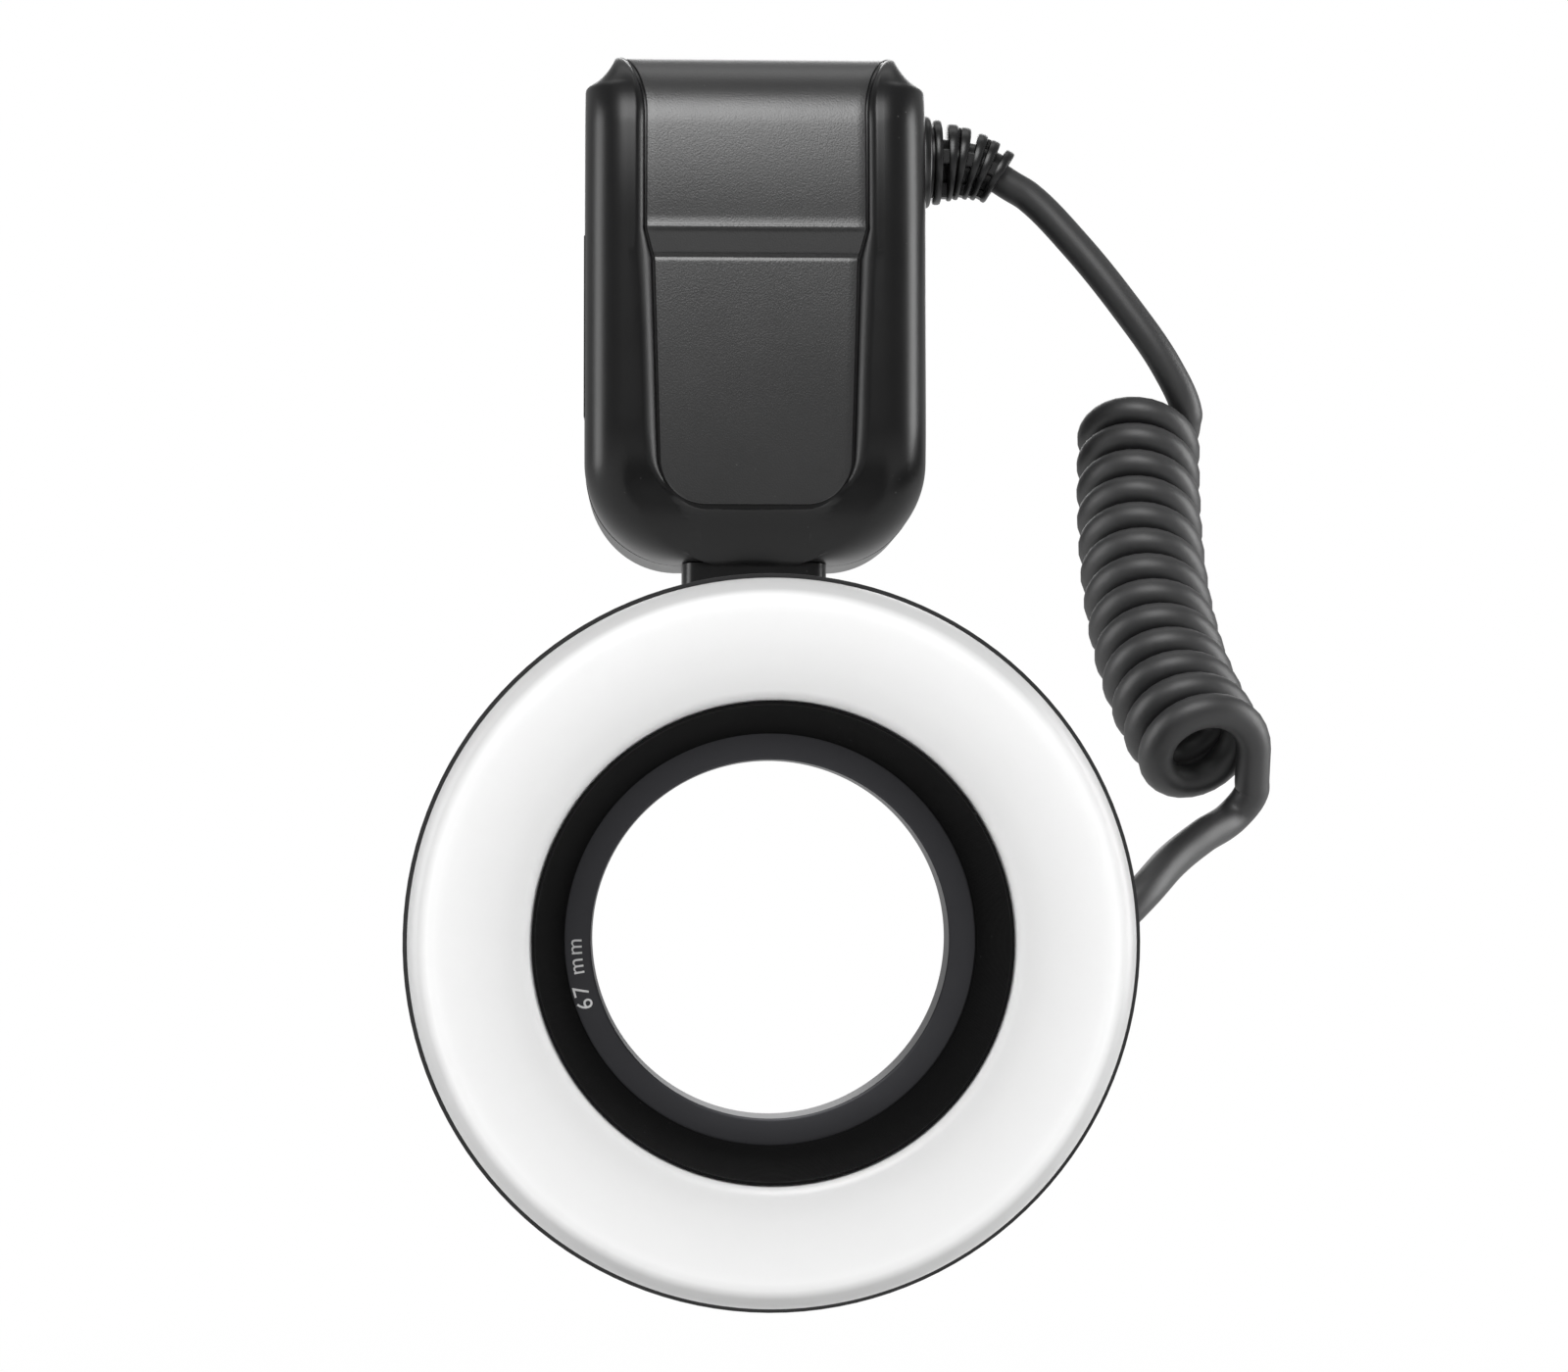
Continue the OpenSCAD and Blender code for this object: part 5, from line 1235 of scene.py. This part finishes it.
class BuildReliefs(bpy.types.Operator):
    """The slotted strain reliefs at both ends of the cord"""
    bl_idname = "ring_flash.reliefs"
    bl_label = "Strain reliefs"

    def execute(self, context):
        rubber = moulded_plastic("Relief rubber", context.scene.ring_flash_controller.cover, 0.34,
                                 grain=2200.0, cells=0.5, bump=0.10, rub=0.0, specular=0.40)
        for name, node, shape, collar in (("relief_at_controller", "upper_relief", UPPER_RELIEF, BOSS),
                                          ("relief_at_ring", "lower_relief", LOWER_RELIEF, COLLAR)):
            piece = relief_mesh(name, shape, collar)
            dress(piece, rubber)
            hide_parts(node)
            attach(piece, "flash")
        return {"FINISHED"}


class BuildMarks(bpy.types.Operator):
    """Printed marks: the thread's size on the adapter, and the switch's and display's plain marks"""
    bl_idname = "ring_flash.marks"
    bl_label = "Printed marks"

    def execute(self, context):
        white = moulded_plastic("White print", (0.62, 0.62, 0.62), 0.5, grain=3000.0, cells=0.2, bump=0.05,
                                rub=0.0)
        ink = moulded_plastic("Display ink", (0.012, 0.014, 0.013), 0.4, grain=3000.0, cells=0.2, bump=0.0,
                              rub=0.0)

        def on_adapter(across, up, off):
            r = MARK_RADIUS + up
            a = MARK_TURN - across / MARK_RADIUS
            return Vector((r * math.cos(a), adapter_low.y - PRINT_LIFT - off, AXIS_Z + r * math.sin(a)))

        def on_back(x, z, y):
            return lambda across, up, off: Vector((x - across, y + PRINT_LIFT + off, z + up))
        lettering("thread_size_mark", "67 mm", 0.0040, on_adapter, white, "adapter_ring", 1.2)
        back, glass = rear_high.y, module_high.y
        under = switch_low.z - 0.0026
        off_x = (switch_low.x + switch_high.x) / 2 - 0.0030
        middle = (window_low.z + window_high.z) / 2
        low = middle - 0.0085
        for name, words, size, place, ink_used, slot in (
                ("switch_on_mark", "ON", 0.0024, (switch_high.x + 0.0012, under, back), white, "switch_cap"),
                ("switch_off_mark", "OFF", 0.0024, (off_x, under, back), white, "switch_cap"),
                ("display_power", "1/16", 0.0105, (0.004, middle + 0.002, glass), ink, "display"),
                ("display_zoom", "M  100", 0.0042, (-0.011, low, glass), ink, "display"),
                ("display_ratio", "A : B   1 : 1", 0.0038, (0.009, low, glass), ink, "display")):
            lettering(name, words, size, on_back(*place), ink_used, "flash")
        for number, sign in enumerate(("+/-", "Hz", "A:B", "M"), 1):
            name = "function_button_%d" % number
            key_low, key_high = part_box(name)
            at = on_back((key_low.x + key_high.x) / 2, (key_low.z + key_high.z) / 2, key_high.y)
            lettering("key_mark_%d" % number, sign, 0.0026, at, white, name)
        return {"FINISHED"}


class BuildController(bpy.types.Operator):
    """Finish of the controller's covers, battery and keys"""
    bl_idname = "ring_flash.controller"
    bl_label = "Controller"

    def execute(self, context):
        controller = context.scene.ring_flash_controller
        cover = moulded_plastic("Satin black cover", controller.cover, 0.30, grain=2400.0, cells=0.3,
                                bump=0.06, specular=0.28)
        key = moulded_plastic("Key plastic", (0.010, 0.010, 0.0105), 0.48, grain=2600.0, cells=0.4, bump=0.18,
                              specular=0.30)
        red = moulded_plastic("Red test key", (0.32, 0.02, 0.012), 0.30)
        grey = moulded_plastic("Grey switch cap", (0.35, 0.35, 0.35), 0.45)
        for node in ("rear_cover", "shoe_base", "lock_lever", "port_cover", "battery", "battery_bay"):
            dress(soften(node, controller.edge), cover)
        keys = ["select_dial", "set_button", "mode_button", "sync_button", "battery_release",
                "release_latch_left", "release_latch_right", "latch_button_left", "latch_button_right",
                *("function_button_%d" % number for number in range(1, 5))]
        finishes = {**dict.fromkeys(keys, key), "test_button": red, "power_switch": grey}
        for node, material in finishes.items():
            dress(soften(node, 0.0003), material)
        return {"FINISHED"}


class BuildWorks(bpy.types.Operator):
    """Finish of the pieces inside and of the metal fittings"""
    bl_idname = "ring_flash.works"
    bl_label = "Works and fittings"

    def execute(self, context):
        steel = metal("Nickel steel", (0.60, 0.60, 0.61), 0.28)
        for node in ("cover_screws", "ring_screws", "shoe_foot", "lock_pin", "usb_socket"):
            dress(soften(node, 0.00015), steel)
        dress(soften("contact_pins", 0.0001), metal("Gold contact", (0.75, 0.53, 0.20), 0.25))
        board = moulded_plastic("Solder resist", (0.012, 0.075, 0.035), 0.35, grain=900.0, bump=0.2)
        quartz = clear_glass("Quartz tube", (0.92, 0.95, 0.96))
        finishes = {
            "main_board": board, "trigger_board": board,
            "flash_tube_left": quartz, "flash_tube_right": quartz,
            "flash_capacitor": moulded_plastic("Capacitor sleeve", (0.02, 0.035, 0.10), 0.30),
            "step_up_transformer": moulded_plastic("Taped winding", (0.45, 0.28, 0.05), 0.45),
            "lcd_module": moulded_plastic("Display glass", (0.22, 0.26, 0.22), 0.25),
            "reflector": metal("Bright reflector", (0.85, 0.85, 0.86), 0.15),
            "tube_holders": moulded_plastic("White holder", (0.7, 0.7, 0.68), 0.5),
            "sync_socket": moulded_plastic("Socket black", (0.012, 0.012, 0.012), 0.45)}
        for node, material in finishes.items():
            dress(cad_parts[node], material)
        dress(soften("lcd_window", 0.0003), clear_glass("Tinted window", (0.78, 0.80, 0.80)))
        return {"FINISHED"}


class RingFlashPanel(bpy.types.Panel):
    """Lists the pieces in the 3D view's sidebar"""
    bl_idname = "VIEW3D_PT_ring_flash"
    bl_label = "Ring flash"
    bl_space_type = "VIEW_3D"
    bl_region_type = "UI"
    bl_category = "Ring flash"

    def draw(self, context):
        for settings in SETTINGS:
            group = getattr(context.scene, settings)
            for key in group.__annotations__:
                self.layout.prop(group, key)
        for operator in OPERATORS:
            self.layout.operator(operator.bl_idname)


SETTINGS = {"ring_flash_stage": StageSettings, "ring_flash_cord": CordSettings,
            "ring_flash_ring": RingSettings, "ring_flash_controller": ControllerSettings}
OPERATORS = (BuildStage, BuildCord, BuildRing, BuildFrontCover, BuildReliefs, BuildController, BuildWorks,
             BuildMarks)


def register():
    """Registers the settings, the operators and the panel."""
    for name, group in SETTINGS.items():
        bpy.utils.register_class(group)
        setattr(bpy.types.Scene, name, PointerProperty(type=group))
    for made in (*OPERATORS, RingFlashPanel):
        bpy.utils.register_class(made)


def unregister():
    """Takes back what register added."""
    for made in (RingFlashPanel, *reversed(OPERATORS)):
        bpy.utils.unregister_class(made)
    for name, group in reversed(list(SETTINGS.items())):
        delattr(bpy.types.Scene, name)
        bpy.utils.unregister_class(group)


def main():
    """Builds every piece in order."""
    register()
    bpy.ops.ring_flash.stage()
    bpy.ops.ring_flash.cord()
    bpy.ops.ring_flash.ring()
    bpy.ops.ring_flash.front_cover()
    bpy.ops.ring_flash.reliefs()
    bpy.ops.ring_flash.controller()
    bpy.ops.ring_flash.works()
    bpy.ops.ring_flash.marks()


if __name__ == "__main__":
    main()
